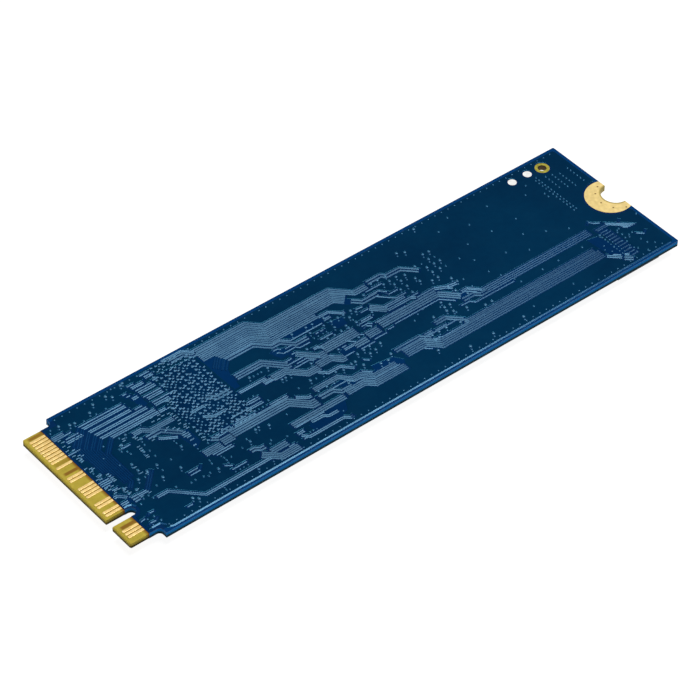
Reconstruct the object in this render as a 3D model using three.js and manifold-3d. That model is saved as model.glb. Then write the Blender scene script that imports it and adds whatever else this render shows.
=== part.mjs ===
// A single-sided M.2 2280 solid state drive with an M-key edge connector, lying with its bare side up.
// Millimetres, +Z up. The origin is under the middle of the board, on the surface that the drive lies on.
// Inside the assembly, x runs from the connector's end (0) to the screw end (80), and y from the centre line.
import * as THREE from "three";
import { mergeVertices } from "three/addons/utils/BufferGeometryUtils.js";
import Module from "manifold-3d";

const wasm = await Module();
wasm.setup();

// Board outline, from the M.2 card format 2280
const BOARD_LENGTH = 80;
const BOARD_WIDTH = 22;
const BOARD_THICKNESS = 0.8;
const TONGUE_LENGTH = 4;
const TONGUE_WIDTH = 19.85;
const SHOULDER_RADIUS = 0.5;
const TONGUE_CORNER_RADIUS = 0.25;
const SCREW_END_RADIUS = 0.15;
const KEY_WIDTH = 1.2;
const KEY_DEPTH = 3.5;
const KEY_Y = -6.125;
const SCREW_NOTCH_RADIUS = 1.75;
const TONGUE_BEVEL = 0.08;
const TONGUE_BEVEL_LENGTH = 0.12;

// Films on the laminate
const FILM = 0.05;
const MASK_START = 2.5;
const FILM_GAP = 0.02;

// Lands and holes at the screw end
const LAND_RADIUS = 3;
const LAND_X = 79.05;
const TOOLING_HOLE = { x: 76.3, y: 8.95, land: 0.92, bore: 0.55 };
const TEST_PADS = [
  { name: "test_pad_inner", x: 71.65, y: 9.2 },
  { name: "test_pad_outer", x: 74.1, y: 9.2 },
];
const TEST_PAD_RADIUS = 0.55;

// Edge contacts: even positions are on the bare side, odd positions on the component side
const CONTACT_PITCH = 0.5;
const CONTACT_WIDTH = 0.36;
const CONTACT_TIP = 0.35;
const CONTACT_END = 2.45;
const CONTACT_BUS = 0.12;
const EVEN_CONTACT_2_Y = 9;
const ODD_CONTACT_1_Y = 9.25;
const BARE_SIDE_RUNS = [
  [2, 18],
  [22, 22],
  [30, 32],
  [38, 44],
  [50, 52],
  [56, 58],
  [70, 74],
];
const COMPONENT_SIDE_RUNS = [
  [1, 57],
  [67, 75],
];

// Heights: the tallest stack under the board is the limit that the format sets for one-sided cards
const COMPONENT_HEIGHT = 1.35;
const COMPONENT_FACE = COMPONENT_HEIGHT;
const LAMINATE_BOTTOM = COMPONENT_FACE + FILM;
const LAMINATE_TOP = COMPONENT_FACE + BOARD_THICKNESS - FILM;
const LABEL_THICKNESS = 0.1;

// Ball grid packages, each a substrate with its outer ring of solder balls under a moulded cap
const BALL_HEIGHT = 0.25;
const SUBSTRATE_HEIGHT = 0.2;
const BALL_RADIUS = 0.2;
const BALL_SIDES = 6;
const MOULD_CHAMFER = 0.06;
const PACKAGES = [
  { name: "controller", x: 19, y: 4, length: 12, width: 12, height: 1.15, balls: [14, 14], pitch: 0.8 },
  { name: "flash_1", x: 34.8, y: 0, length: 14, width: 18, height: 1.25, balls: [11, 16], pitch: 1 },
  { name: "flash_2", x: 50.2, y: 0, length: 14, width: 18, height: 1.25, balls: [11, 16], pitch: 1 },
  { name: "bus_buffer", x: 74.3, y: -6.9, length: 6.8, width: 7, height: 1, balls: [7, 8], pitch: 0.8 },
];
const LABEL = { x: 42.5, y: 0, length: 29, width: 17, radius: 0.8 };

// Flat no-lead packages
const FLAT_CHIPS = [
  { name: "power_management_chip", x: 9, y: -6, length: 5, width: 5, height: 0.85 },
  { name: "firmware_flash_chip", x: 8.4, y: 7.2, length: 5, width: 4.4, height: 0.8 },
  { name: "load_switch_chip", x: 6.4, y: 2.9, length: 2, width: 2, height: 0.75 },
];
const FLAT_CHIP_STANDOFF = 0.03;

// Power inductors: a ferrite block on two end terminals
const INDUCTORS = [
  { name: "inductor_core_supply", x: 15.4, y: -7, size: 4, height: 1.2 },
  { name: "inductor_flash_supply", x: 20.3, y: -7.4, size: 3, height: 1.1 },
  { name: "inductor_io_supply", x: 24.6, y: -7.4, size: 2.5, height: 1 },
];
const INDUCTOR_TERMINAL = { share: 0.22, height: 0.12, overhang: 0.05 };

const CRYSTAL = { x: 9.6, y: 2.4, length: 2.5, width: 2, base: 0.35, lid: 0.3, rim: 0.2 };

// Chip capacitors and resistors: size is [length, width, height]; turned ones lie across the board
const CASE_0805 = [2, 1.25, 0.95];
const CASE_0603 = [1.6, 0.8, 0.8];
const CASE_0402 = [1, 0.5, 0.5];
const RESISTOR_0402 = [1, 0.5, 0.35];
const TERMINATION_SHARE = 0.25;
const TERMINATION_STEP = 0.02;
const COUPLING_PAIR_Y = [-3.3, -0.8, 4.75, 1.2];
const COUPLING_SPACING = 0.9;
const COUPLING_X = 4.6;

const foilMaterial = new THREE.MeshStandardMaterial({ color: 0xd9b25a, roughness: 0.35, metalness: 1 });
const maskMaterial = new THREE.MeshStandardMaterial({ color: 0x04305a, roughness: 0.3, metalness: 0 });
const laminateMaterial = new THREE.MeshStandardMaterial({ color: 0x9c8f35, roughness: 0.6, metalness: 0 });
const tinMaterial = new THREE.MeshStandardMaterial({ color: 0xe6e2de, roughness: 0.25, metalness: 1 });
const mouldMaterial = new THREE.MeshStandardMaterial({ color: 0x17181a, roughness: 0.55, metalness: 0 });
const substrateMaterial = new THREE.MeshStandardMaterial({ color: 0x1d4a2c, roughness: 0.5, metalness: 0 });
const ferriteMaterial = new THREE.MeshStandardMaterial({ color: 0x3b3c3f, roughness: 0.7, metalness: 0 });
const capacitorMaterial = new THREE.MeshStandardMaterial({ color: 0x9a7a54, roughness: 0.5, metalness: 0 });
const resistorMaterial = new THREE.MeshStandardMaterial({ color: 0x1b1b1e, roughness: 0.4, metalness: 0 });
const labelMaterial = new THREE.MeshStandardMaterial({ color: 0xe9ebee, roughness: 0.6, metalness: 0 });

const drive = new THREE.Group();
const assembly = new THREE.Group();
assembly.position.x = -BOARD_LENGTH / 2;
drive.add(assembly);

// ---------- solids ----------

function solidFrom(geometry) {
  const bare = geometry.clone();
  bare.deleteAttribute("normal");
  bare.deleteAttribute("uv");
  const merged = mergeVertices(bare, 1e-4);
  return new wasm.Manifold(
    new wasm.Mesh({
      numProp: 3,
      vertProperties: merged.attributes.position.array,
      triVerts: new Uint32Array(merged.index.array),
    }),
  );
}

function geometryFrom(solid) {
  const mesh = solid.getMesh();
  const geometry = new THREE.BufferGeometry();
  geometry.setAttribute("position", new THREE.BufferAttribute(mesh.vertProperties, 3));
  geometry.setIndex(new THREE.BufferAttribute(mesh.triVerts, 1));
  return geometry;
}

function joined(geometries) {
  const [first, ...rest] = geometries.map(solidFrom);
  return geometryFrom(rest.reduce((body, piece) => body.add(piece), first));
}

function slab(shape, bottom, height, curveSegments = 12) {
  const geometry = new THREE.ExtrudeGeometry(shape, { depth: height, bevelEnabled: false, curveSegments });
  return geometry.translate(0, 0, bottom);
}

function addPiece(name, geometry, material, x = 0, y = 0, z = 0) {
  const mesh = new THREE.Mesh(geometry, material);
  mesh.name = name;
  mesh.position.set(x, y, z);
  assembly.add(mesh);
  return mesh;
}

function roundedRectangle(length, width, radius) {
  const [a, b] = [length / 2, width / 2];
  const shape = new THREE.Shape();
  shape.moveTo(-a + radius, -b);
  shape.absarc(a - radius, -b + radius, radius, -Math.PI / 2, 0);
  shape.absarc(a - radius, b - radius, radius, 0, Math.PI / 2);
  shape.absarc(-a + radius, b - radius, radius, Math.PI / 2, Math.PI);
  shape.absarc(-a + radius, -b + radius, radius, Math.PI, 1.5 * Math.PI);
  return shape;
}

function circle(x, y, radius) {
  const path = new THREE.Path();
  path.absarc(x, y, radius, 0, 2 * Math.PI);
  return path;
}

// ---------- board ----------

// The card seen from above, from x = start to the screw end. The screw notch may be any circle round its centre.
function cardOutline(start, notchRadius, notchX = BOARD_LENGTH) {
  const half = BOARD_WIDTH / 2;
  const tongueHalf = TONGUE_WIDTH / 2;
  const r = TONGUE_CORNER_RADIUS;
  const inner = SHOULDER_RADIUS;
  const end = SCREW_END_RADIUS;
  const keyHalf = KEY_WIDTH / 2;
  const notchHalf = Math.acos((BOARD_LENGTH - notchX) / notchRadius);
  const shape = new THREE.Shape();
  const cornered = start === 0 ? r : 0;
  shape.moveTo(start, KEY_Y - keyHalf);
  shape.lineTo(start, -tongueHalf + cornered);
  if (cornered) shape.absarc(start + r, -tongueHalf + r, r, Math.PI, 1.5 * Math.PI);
  else shape.lineTo(start, -tongueHalf);
  shape.absarc(TONGUE_LENGTH - inner, -tongueHalf - inner, inner, Math.PI / 2, 0, true);
  shape.lineTo(TONGUE_LENGTH, -half);
  shape.absarc(BOARD_LENGTH - end, -half + end, end, -Math.PI / 2, 0);
  shape.absarc(notchX, 0, notchRadius, -notchHalf, notchHalf, true);
  shape.absarc(BOARD_LENGTH - end, half - end, end, 0, Math.PI / 2);
  shape.lineTo(TONGUE_LENGTH, half);
  shape.absarc(TONGUE_LENGTH - inner, tongueHalf + inner, inner, 0, -Math.PI / 2, true);
  if (cornered) shape.absarc(start + r, tongueHalf - r, r, Math.PI / 2, Math.PI);
  else shape.lineTo(start, tongueHalf);
  shape.lineTo(start, KEY_Y + keyHalf);
  shape.absarc(KEY_DEPTH - keyHalf, KEY_Y, keyHalf, Math.PI / 2, -Math.PI / 2, true);
  return shape;
}

// A wedge across the tongue's end, which cuts its edge to a bevel on the side that facing points to.
function bevelWedge(z, facing) {
  const profile = new THREE.Shape();
  const margin = 0.5;
  profile.moveTo(-margin, z + facing * margin);
  profile.lineTo(-margin, z - facing * TONGUE_BEVEL * (1 + margin / TONGUE_BEVEL_LENGTH));
  profile.lineTo(TONGUE_BEVEL_LENGTH * (1 + margin / TONGUE_BEVEL), z + facing * margin);
  const wedge = new THREE.ExtrudeGeometry(profile, { depth: BOARD_WIDTH, bevelEnabled: false });
  return solidFrom(wedge.rotateX(Math.PI / 2).translate(0, BOARD_WIDTH / 2, 0));
}

function addLaminate() {
  const outline = cardOutline(0, SCREW_NOTCH_RADIUS + FILM + FILM_GAP);
  outline.holes.push(circle(TOOLING_HOLE.x, TOOLING_HOLE.y, TOOLING_HOLE.bore + FILM + FILM_GAP));
  const body = solidFrom(slab(outline, LAMINATE_BOTTOM, LAMINATE_TOP - LAMINATE_BOTTOM))
    .subtract(bevelWedge(LAMINATE_TOP, 1))
    .subtract(bevelWedge(LAMINATE_BOTTOM, -1));
  addPiece("laminate", geometryFrom(body), laminateMaterial);
}

function addMask(name, bottom, withPads) {
  const outline = cardOutline(MASK_START, LAND_RADIUS + FILM_GAP, LAND_X);
  outline.holes.push(circle(TOOLING_HOLE.x, TOOLING_HOLE.y, TOOLING_HOLE.land + FILM_GAP));
  if (withPads)
    for (const pad of TEST_PADS) outline.holes.push(circle(pad.x, pad.y, TEST_PAD_RADIUS + FILM_GAP));
  addPiece(name, slab(outline, bottom, FILM), maskMaterial);
}

// The screw land covers both faces round the notch, joined by the plating on the notch's wall.
function addScrewLand() {
  const face = new THREE.Shape();
  const landHalf = Math.acos((BOARD_LENGTH - LAND_X) / LAND_RADIUS);
  face.absarc(LAND_X, 0, LAND_RADIUS, landHalf, 2 * Math.PI - landHalf);
  face.absarc(BOARD_LENGTH, 0, SCREW_NOTCH_RADIUS, 1.5 * Math.PI, 0.5 * Math.PI, true);
  const wall = new THREE.Shape();
  wall.absarc(BOARD_LENGTH, 0, SCREW_NOTCH_RADIUS + FILM, 0.5 * Math.PI, 1.5 * Math.PI);
  wall.absarc(BOARD_LENGTH, 0, SCREW_NOTCH_RADIUS, 1.5 * Math.PI, 0.5 * Math.PI, true);
  const pieces = [
    slab(face, COMPONENT_FACE, FILM, 32),
    slab(face, LAMINATE_TOP, FILM, 32),
    slab(wall, COMPONENT_FACE, BOARD_THICKNESS, 24),
  ];
  addPiece("screw_land", joined(pieces), foilMaterial);
}

function addToolingHolePlating() {
  const { x, y, land, bore } = TOOLING_HOLE;
  const middle = COMPONENT_FACE + BOARD_THICKNESS / 2;
  const half = BOARD_THICKNESS / 2;
  const eyelet = [
    [bore, -half],
    [land, -half],
    [land, -half + FILM],
    [bore + FILM, -half + FILM],
    [bore + FILM, half - FILM],
    [land, half - FILM],
    [land, half],
    [bore, half],
    [bore, -half],
  ].map(([radius, height]) => new THREE.Vector2(radius, height));
  const geometry = new THREE.LatheGeometry(eyelet, 32).rotateX(Math.PI / 2);
  addPiece("tooling_hole_plating", geometry, foilMaterial, x, y, middle);
}

function addTestPads() {
  for (const { name, x, y } of TEST_PADS) {
    const pad = new THREE.CylinderGeometry(TEST_PAD_RADIUS, TEST_PAD_RADIUS, FILM, 32);
    addPiece(name, pad.rotateX(Math.PI / 2), tinMaterial, x, y, LAMINATE_TOP + FILM / 2);
  }
}

// ---------- edge contacts ----------

function contactY(position) {
  const first = position % 2 === 0 ? EVEN_CONTACT_2_Y : ODD_CONTACT_1_Y;
  return first - Math.floor((position - 1) / 2) * CONTACT_PITCH;
}

// One run of contacts as a comb: round-ended fingers on a strip along the edge of the solder mask.
function contactRun([first, last], bottom) {
  const half = CONTACT_WIDTH / 2;
  const shape = new THREE.Shape();
  shape.moveTo(CONTACT_END, contactY(last) - half);
  shape.lineTo(CONTACT_END, contactY(first) + half);
  for (let position = first; position <= last; position += 2) {
    const y = contactY(position);
    if (position !== first) shape.lineTo(CONTACT_END - CONTACT_BUS, y + half);
    shape.absarc(CONTACT_TIP + half, y, half, Math.PI / 2, 1.5 * Math.PI);
    if (position !== last) shape.lineTo(CONTACT_END - CONTACT_BUS, y - half);
  }
  return slab(shape, bottom, FILM, 4);
}

function addContacts() {
  const name = ([first, last]) => (first === last ? `contact_${first}` : `contacts_${first}_to_${last}`);
  for (const run of BARE_SIDE_RUNS) addPiece(name(run), contactRun(run, LAMINATE_TOP), foilMaterial);
  for (const run of COMPONENT_SIDE_RUNS) addPiece(name(run), contactRun(run, COMPONENT_FACE), foilMaterial);
}

// ---------- packages ----------

function ballRing([columns, rows], pitch) {
  const centres = [];
  for (let i = 0; i < columns; i += 1)
    for (let j = 0; j < rows; j += 1)
      if (i === 0 || j === 0 || i === columns - 1 || j === rows - 1)
        centres.push([(i - (columns - 1) / 2) * pitch, (j - (rows - 1) / 2) * pitch]);
  return centres;
}

// A package hangs under the board: balls, then the substrate, then the moulded cap.
function addPackage({ name, x, y, length, width, height, balls, pitch }) {
  const bite = 0.05;
  const substrate = new THREE.BoxGeometry(length, width, SUBSTRATE_HEIGHT);
  const ballPieces = ballRing(balls, pitch).map(([dx, dy]) =>
    new THREE.CylinderGeometry(BALL_RADIUS, BALL_RADIUS, BALL_HEIGHT + bite, BALL_SIDES)
      .rotateX(Math.PI / 2)
      .translate(dx, dy, SUBSTRATE_HEIGHT / 2 + (BALL_HEIGHT - bite) / 2),
  );
  const substrateZ = COMPONENT_FACE - BALL_HEIGHT - SUBSTRATE_HEIGHT / 2;
  addPiece(`${name}_substrate`, joined([substrate, ...ballPieces]), substrateMaterial, x, y, substrateZ);

  const capHeight = height - BALL_HEIGHT - SUBSTRATE_HEIGHT;
  const cap = new THREE.ExtrudeGeometry(
    roundedRectangle(length - 2 * MOULD_CHAMFER, width - 2 * MOULD_CHAMFER, MOULD_CHAMFER),
    {
      depth: capHeight - MOULD_CHAMFER,
      bevelThickness: MOULD_CHAMFER,
      bevelSize: MOULD_CHAMFER,
      bevelSegments: 1,
      curveSegments: 2,
    },
  );
  const trimTop = new THREE.BoxGeometry(2 * length, 2 * width, 1).translate(0, 0, capHeight - MOULD_CHAMFER + 0.5);
  const trimmed = geometryFrom(solidFrom(cap).subtract(solidFrom(trimTop)));
  addPiece(`${name}_cap`, trimmed, mouldMaterial, x, y, COMPONENT_FACE - height + MOULD_CHAMFER);
}

function addFlatChip({ name, x, y, length, width, height }) {
  const body = slab(roundedRectangle(length, width, MOULD_CHAMFER), 0, height - FLAT_CHIP_STANDOFF, 2);
  addPiece(name, body, mouldMaterial, x, y, COMPONENT_FACE - height);
}

function addInductor({ name, x, y, size, height }) {
  const { share, height: foot, overhang } = INDUCTOR_TERMINAL;
  const block = slab(roundedRectangle(size, size, size / 10), 0, height - foot, 3);
  const footLength = size * share;
  const feet = [-1, 1].map((side) =>
    new THREE.BoxGeometry(footLength, size * 0.8, foot + overhang).translate(
      (side * (size - footLength)) / 2,
      0,
      height - (foot + overhang) / 2,
    ),
  );
  addPiece(name, joined([block, ...feet]), ferriteMaterial, x, y, COMPONENT_FACE - height);
}

function addCrystal() {
  const { x, y, length, width, base, lid, rim } = CRYSTAL;
  const height = base + lid;
  const ceramicBase = slab(roundedRectangle(length, width, rim), lid, base, 3);
  const metalLid = slab(roundedRectangle(length - rim, width - rim, rim), 0, lid + FILM, 3);
  addPiece("crystal_oscillator", joined([ceramicBase, metalLid]), tinMaterial, x, y, COMPONENT_FACE - height);
}

function addLabel() {
  const shape = roundedRectangle(LABEL.length, LABEL.width, LABEL.radius);
  addPiece("label", slab(shape, 0, LABEL_THICKNESS, 6), labelMaterial, LABEL.x, LABEL.y, 0);
}

// ---------- chip capacitors and resistors ----------

// A bar with slightly thicker ends, where its terminations are.
function addChipPart(name, [length, width, height], material, x, y, turned) {
  const end = length * TERMINATION_SHARE;
  const step = TERMINATION_STEP;
  const half = length / 2;
  const profile = new THREE.Shape();
  profile.moveTo(-half, 0);
  profile.lineTo(-half + end, 0);
  profile.lineTo(-half + end, step);
  profile.lineTo(half - end, step);
  profile.lineTo(half - end, 0);
  profile.lineTo(half, 0);
  profile.lineTo(half, height);
  profile.lineTo(half - end, height);
  profile.lineTo(half - end, height - step);
  profile.lineTo(-half + end, height - step);
  profile.lineTo(-half + end, height);
  profile.lineTo(-half, height);
  const bar = new THREE.ExtrudeGeometry(profile, { depth: width, bevelEnabled: false });
  bar.rotateX(Math.PI / 2).translate(0, width / 2, 0);
  if (turned) bar.rotateZ(Math.PI / 2);
  addPiece(name, bar, material, x, y, COMPONENT_FACE - height);
}

function addCapacitors() {
  COUPLING_PAIR_Y.forEach((middle, lane) => {
    [-1, 1].forEach((side, i) => {
      const y = middle + (side * COUPLING_SPACING) / 2;
      addChipPart(`coupling_capacitor_${2 * lane + i + 1}`, CASE_0402, capacitorMaterial, COUPLING_X, y, false);
    });
  });
  const bulk = [
    { x: 6.4, y: -9.6, turned: false },
    { x: 9.2, y: -9.6, turned: false },
    { x: 12, y: -9.6, turned: false },
    { x: 26.4, y: 8, turned: true },
    { x: 26.4, y: 4.6, turned: true },
    { x: 58.3, y: 7.4, turned: true },
    { x: 58.3, y: -7.4, turned: true },
  ];
  bulk.forEach(({ x, y, turned }, i) => {
    addChipPart(`bulk_capacitor_${i + 1}`, CASE_0805, capacitorMaterial, x, y, turned);
  });
  const bypass = [
    { x: 12.4, y: -3, turned: false },
    { x: 26.4, y: 0.6, turned: true },
    { x: 58.3, y: 0, turned: true },
    { x: 69.8, y: -6.9, turned: true },
  ];
  bypass.forEach(({ x, y, turned }, i) => {
    addChipPart(`bypass_capacitor_${i + 1}`, CASE_0603, capacitorMaterial, x, y, turned);
  });
}

function addResistors() {
  const places = [
    { x: 12.2, y: 6, turned: true },
    { x: 12.2, y: 8.2, turned: true },
    { x: 9.6, y: 4.4, turned: false },
    { x: 12.2, y: 3.2, turned: true },
    { x: 5.6, y: -6, turned: true },
    { x: 26.4, y: -3.4, turned: true },
  ];
  places.forEach(({ x, y, turned }, i) => {
    addChipPart(`resistor_${i + 1}`, RESISTOR_0402, resistorMaterial, x, y, turned);
  });
}

// ---------- the assembly ----------

addLaminate();
addMask("bare_side_solder_mask", LAMINATE_TOP, true);
addMask("component_side_solder_mask", COMPONENT_FACE, false);
addScrewLand();
addToolingHolePlating();
addTestPads();
addContacts();
PACKAGES.forEach(addPackage);
FLAT_CHIPS.forEach(addFlatChip);
INDUCTORS.forEach(addInductor);
addCrystal();
addLabel();
addCapacitors();
addResistors();

export default drive;
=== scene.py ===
# The looks of a one-sided M.2 2280 solid state drive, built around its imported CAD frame.
#
# Artwork is written in board millimetres: x runs from the connector's end (0) to the screw end
# (80), y from the centre line, and z up from the frame's origin, which is under the middle of the
# board. The bare side faces up, and the component side faces down.
import math
import random

import bpy
from mathutils import Matrix, Vector
from mathutils.geometry import delaunay_2d_cdt


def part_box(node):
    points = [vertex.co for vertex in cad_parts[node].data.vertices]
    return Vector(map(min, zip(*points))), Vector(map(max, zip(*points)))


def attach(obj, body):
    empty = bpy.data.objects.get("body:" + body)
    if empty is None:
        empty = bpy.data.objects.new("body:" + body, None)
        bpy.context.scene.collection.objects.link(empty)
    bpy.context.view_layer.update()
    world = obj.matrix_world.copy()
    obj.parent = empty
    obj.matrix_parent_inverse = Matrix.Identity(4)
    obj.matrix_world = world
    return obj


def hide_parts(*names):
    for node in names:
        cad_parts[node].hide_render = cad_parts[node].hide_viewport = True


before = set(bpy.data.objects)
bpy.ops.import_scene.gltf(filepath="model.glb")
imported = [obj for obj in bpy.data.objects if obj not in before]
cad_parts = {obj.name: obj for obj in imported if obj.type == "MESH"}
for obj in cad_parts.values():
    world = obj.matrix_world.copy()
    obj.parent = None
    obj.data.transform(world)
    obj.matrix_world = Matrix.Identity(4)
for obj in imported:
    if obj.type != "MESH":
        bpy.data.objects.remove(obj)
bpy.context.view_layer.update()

MM = 0.001
BODY = "root"

# Levels and sizes that follow from the frame, in board millimetres
LAMINATE_LOW, LAMINATE_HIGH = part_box("laminate")
MASK_LOW, MASK_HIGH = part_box("bare_side_solder_mask")
BOARD_LENGTH = (LAMINATE_HIGH.x - LAMINATE_LOW.x) / MM
BOARD_HALF = LAMINATE_HIGH.y / MM
BARE = MASK_HIGH.z / MM
LAMINATE_TOP = LAMINATE_HIGH.z / MM
LAMINATE_BOTTOM = LAMINATE_LOW.z / MM
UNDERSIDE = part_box("component_side_solder_mask")[0].z / MM
MASK_START = MASK_LOW.x / MM + BOARD_LENGTH / 2


# ---------- meshes ----------


def in_frame(x, y, z):
    """A point in board millimetres as a point in the frame, in metres."""
    return Vector(((x - BOARD_LENGTH / 2) * MM, y * MM, z * MM))


class Shape:
    """The points and faces of one piece, in board millimetres.

    A face's material is a number: its place in the list of materials that piece() gets.
    """

    def __init__(self):
        self.points = []
        self.faces = []
        self.material_of = []
        self.smooth_of = []

    def add(self, points, faces, material=0, smooth=True):
        first = len(self.points)
        self.points += [tuple(p) for p in points]
        self.faces += [tuple(first + i for i in face) for face in faces]
        self.material_of += [material] * len(faces)
        self.smooth_of += [smooth] * len(faces)

    def tube(self, rings, material=0, smooth=False):
        """The side walls through rings of equally many points, with open ends."""
        count = len(rings[0])
        points = [p for ring in rings for p in ring]
        walls = []
        for r in range(len(rings) - 1):
            a, b = r * count, (r + 1) * count
            for i in range(count):
                j = (i + 1) % count
                walls.append((a + i, a + j, b + j, b + i))
        self.add(points, walls, material, smooth)

    def loft(self, rings, material=0, smooth=True):
        """A closed skin through rings of equally many points.

        The points run anticlockwise as seen from the last ring.
        """
        self.tube(rings, material, smooth)
        loop = tuple(range(len(rings[0])))
        for ring, face in ((rings[0], loop[::-1]), (rings[-1], loop)):
            self.add(ring, [face], material, False)

    def piece(self, name, materials, slot, replaces=()):
        """Turns the shape into a Blender object that rides with the board."""
        mesh = bpy.data.meshes.new(name)
        mesh.from_pydata([in_frame(*p) for p in self.points], [], self.faces)
        for material in materials:
            mesh.materials.append(material)
        mesh.polygons.foreach_set("material_index", self.material_of)
        mesh.polygons.foreach_set("use_smooth", self.smooth_of)
        mesh.update()
        piece = bpy.data.objects.new(name, mesh)
        bpy.context.scene.collection.objects.link(piece)
        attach(piece, BODY)
        if replaces:
            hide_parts(*replaces)
        return piece


def circle_points(x, y, radius, count, z=None, phase=0.0):
    points = []
    for i in range(count):
        angle = phase + 2 * math.pi * i / count
        point = (x + radius * math.cos(angle), y + radius * math.sin(angle))
        points.append(point if z is None else (*point, z))
    return points


def arc_points(x, y, radius, start, finish, steps=6):
    """Points of an arc, from one angle to another, in degrees."""
    points = []
    for i in range(steps + 1):
        angle = math.radians(start + (finish - start) * i / steps)
        points.append((x + radius * math.cos(angle), y + radius * math.sin(angle)))
    return points


def rounded_rectangle(x, y, length, width, radius):
    points = []
    for side_x, side_y, start in ((1, 1, 0), (-1, 1, 90), (-1, -1, 180), (1, -1, 270)):
        corner_x = x + side_x * (length / 2 - radius)
        corner_y = y + side_y * (width / 2 - radius)
        points += arc_points(corner_x, corner_y, radius, start, start + 90, steps=3)
    return points


def at_height(points, z):
    return [(x, y, z) for x, y in points]


def mitres(path):
    """The step to the left, at each point of a path, that keeps a parallel path one unit away."""
    steps = []
    for i in range(len(path)):
        normals = []
        if i > 0:
            normals.append(left_normal(path[i - 1], path[i]))
        if i < len(path) - 1:
            normals.append(left_normal(path[i], path[i + 1]))
        total = sum(normals, Vector((0, 0)))
        steps.append(total * (len(normals) / total.length_squared))
    return steps


def left_normal(a, b):
    direction = (Vector(b) - Vector(a)).normalized()
    return Vector((-direction.y, direction.x))


def beside(path, offset):
    """The path parallel to this one, offset to its left."""
    return [tuple(Vector(p) + step * offset) for p, step in zip(path, mitres(path))]


# ---------- materials ----------


class Nodes:
    """A material with a few helpers that keep its node graph short to write."""

    def __init__(self, name):
        self.material = bpy.data.materials.new(name)
        self.material.use_nodes = True
        self.tree = self.material.node_tree
        self.shader = self.tree.nodes["Principled BSDF"]
        self.place = self.tree.nodes.new("ShaderNodeTexCoord").outputs["Object"]

    def link(self, value, socket):
        if isinstance(value, bpy.types.NodeSocket):
            self.tree.links.new(value, socket)
        else:
            socket.default_value = value

    def math(self, operation, *values, clamp=False):
        node = self.tree.nodes.new("ShaderNodeMath")
        node.operation = operation
        node.use_clamp = clamp
        for value, socket in zip(values, node.inputs):
            self.link(value, socket)
        return node.outputs[0]

    def subtract(self, value, amount):
        return self.math("SUBTRACT", value, amount)

    def axis(self, name):
        """One coordinate of the place, in millimetres from the frame's origin."""
        node = self.tree.nodes.new("ShaderNodeSeparateXYZ")
        self.link(self.place, node.inputs[0])
        return self.math("DIVIDE", node.outputs[name], MM)

    def board_x(self):
        return self.math("ADD", self.axis("X"), BOARD_LENGTH / 2)

    def noise(self, per_mm, detail=3.0, roughness=0.5):
        node = self.tree.nodes.new("ShaderNodeTexNoise")
        self.link(self.place, node.inputs["Vector"])
        node.inputs["Scale"].default_value = per_mm / MM
        node.inputs["Detail"].default_value = detail
        node.inputs["Roughness"].default_value = roughness
        return node.outputs["Fac"]

    def mottle(self, per_mm, detail=3.0, start=0.0, end=1.0):
        """Noise with more contrast, from start to end."""
        return self.ramp(self.noise(per_mm, detail), 0.3, 0.7, start, end)

    def ramp(self, value, low, high, start=0.0, end=1.0):
        """Stretches value from low..high to start..end, smoothly and with no overshoot."""
        node = self.tree.nodes.new("ShaderNodeMapRange")
        node.interpolation_type = "SMOOTHSTEP"
        for number, socket in zip((value, low, high, start, end), node.inputs):
            self.link(number, socket)
        return node.outputs[0]

    def mix(self, share, first, second):
        node = self.tree.nodes.new("ShaderNodeMix")
        node.data_type = "RGBA"
        for value, index in ((share, 0), (first, 6), (second, 7)):
            self.link(value, node.inputs[index])
        return node.outputs[2]

    def bump(self, height, strength, distance_mm):
        node = self.tree.nodes.new("ShaderNodeBump")
        node.inputs["Strength"].default_value = strength
        node.inputs["Distance"].default_value = distance_mm * MM
        self.link(height, node.inputs["Height"])
        self.link(node.outputs[0], self.shader.inputs["Normal"])

    def look(self, **values):
        names = {
            "colour": "Base Color",
            "roughness": "Roughness",
            "metallic": "Metallic",
            "specular": "Specular IOR Level",
        }
        for key, value in values.items():
            self.link(value, self.shader.inputs[names[key]])
        return self.material


def srgb(red, green, blue):
    """A colour given as 0 to 255 per channel, in the linear form that shaders take.

    The numbers below are the sRGB standard's own.
    """

    def linear(channel):
        share = channel / 255
        return share / 12.92 if share <= 0.04045 else ((share + 0.055) / 1.055) ** 2.4

    return (linear(red), linear(green), linear(blue), 1.0)


# The tints of the film's sheen, on raised copper and on flat areas
SHEEN_TINT = (0.34, 0.73, 0.98, 1)
FLAT_SHEEN_TINT = (0.12, 0.66, 0.95, 1)
# Where the brighter strip along the board's rim starts and is full, in millimetres out from the rim
RIM_START = -0.7
RIM_FULL = -0.5


def solder_mask_material(name, deep, light, roughness=0.2, specular=0.5, rim=None, tint=SHEEN_TINT):
    """Glossy film: its colour drifts with its thickness, and its surface has faint orange peel."""
    n = Nodes(name)
    drift = n.ramp(n.noise(0.06, 4), 0.35, 0.65)
    fine = n.mottle(1.5, 2, 0.0, 0.35)
    thickness = n.math("MULTIPLY", n.math("ADD", drift, fine), 0.7, clamp=True)
    colour = n.mix(thickness, srgb(*deep), srgb(*light))
    if rim:
        across = n.subtract(n.math("ABSOLUTE", n.axis("Y")), BOARD_HALF)
        along = n.subtract(n.axis("X"), BOARD_LENGTH / 2)
        near_rim = n.ramp(n.math("MAXIMUM", across, along), RIM_START, RIM_FULL)
        colour = n.mix(near_rim, colour, srgb(*rim))
    n.bump(n.noise(3.0, 2), 0.12, 0.02)
    rough = n.mottle(0.4, 3, roughness - 0.04, roughness + 0.05)
    n.shader.inputs["Specular Tint"].default_value = tint
    return n.look(colour=colour, roughness=rough, specular=specular)


# ---------- artwork of the bare side ----------

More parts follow.
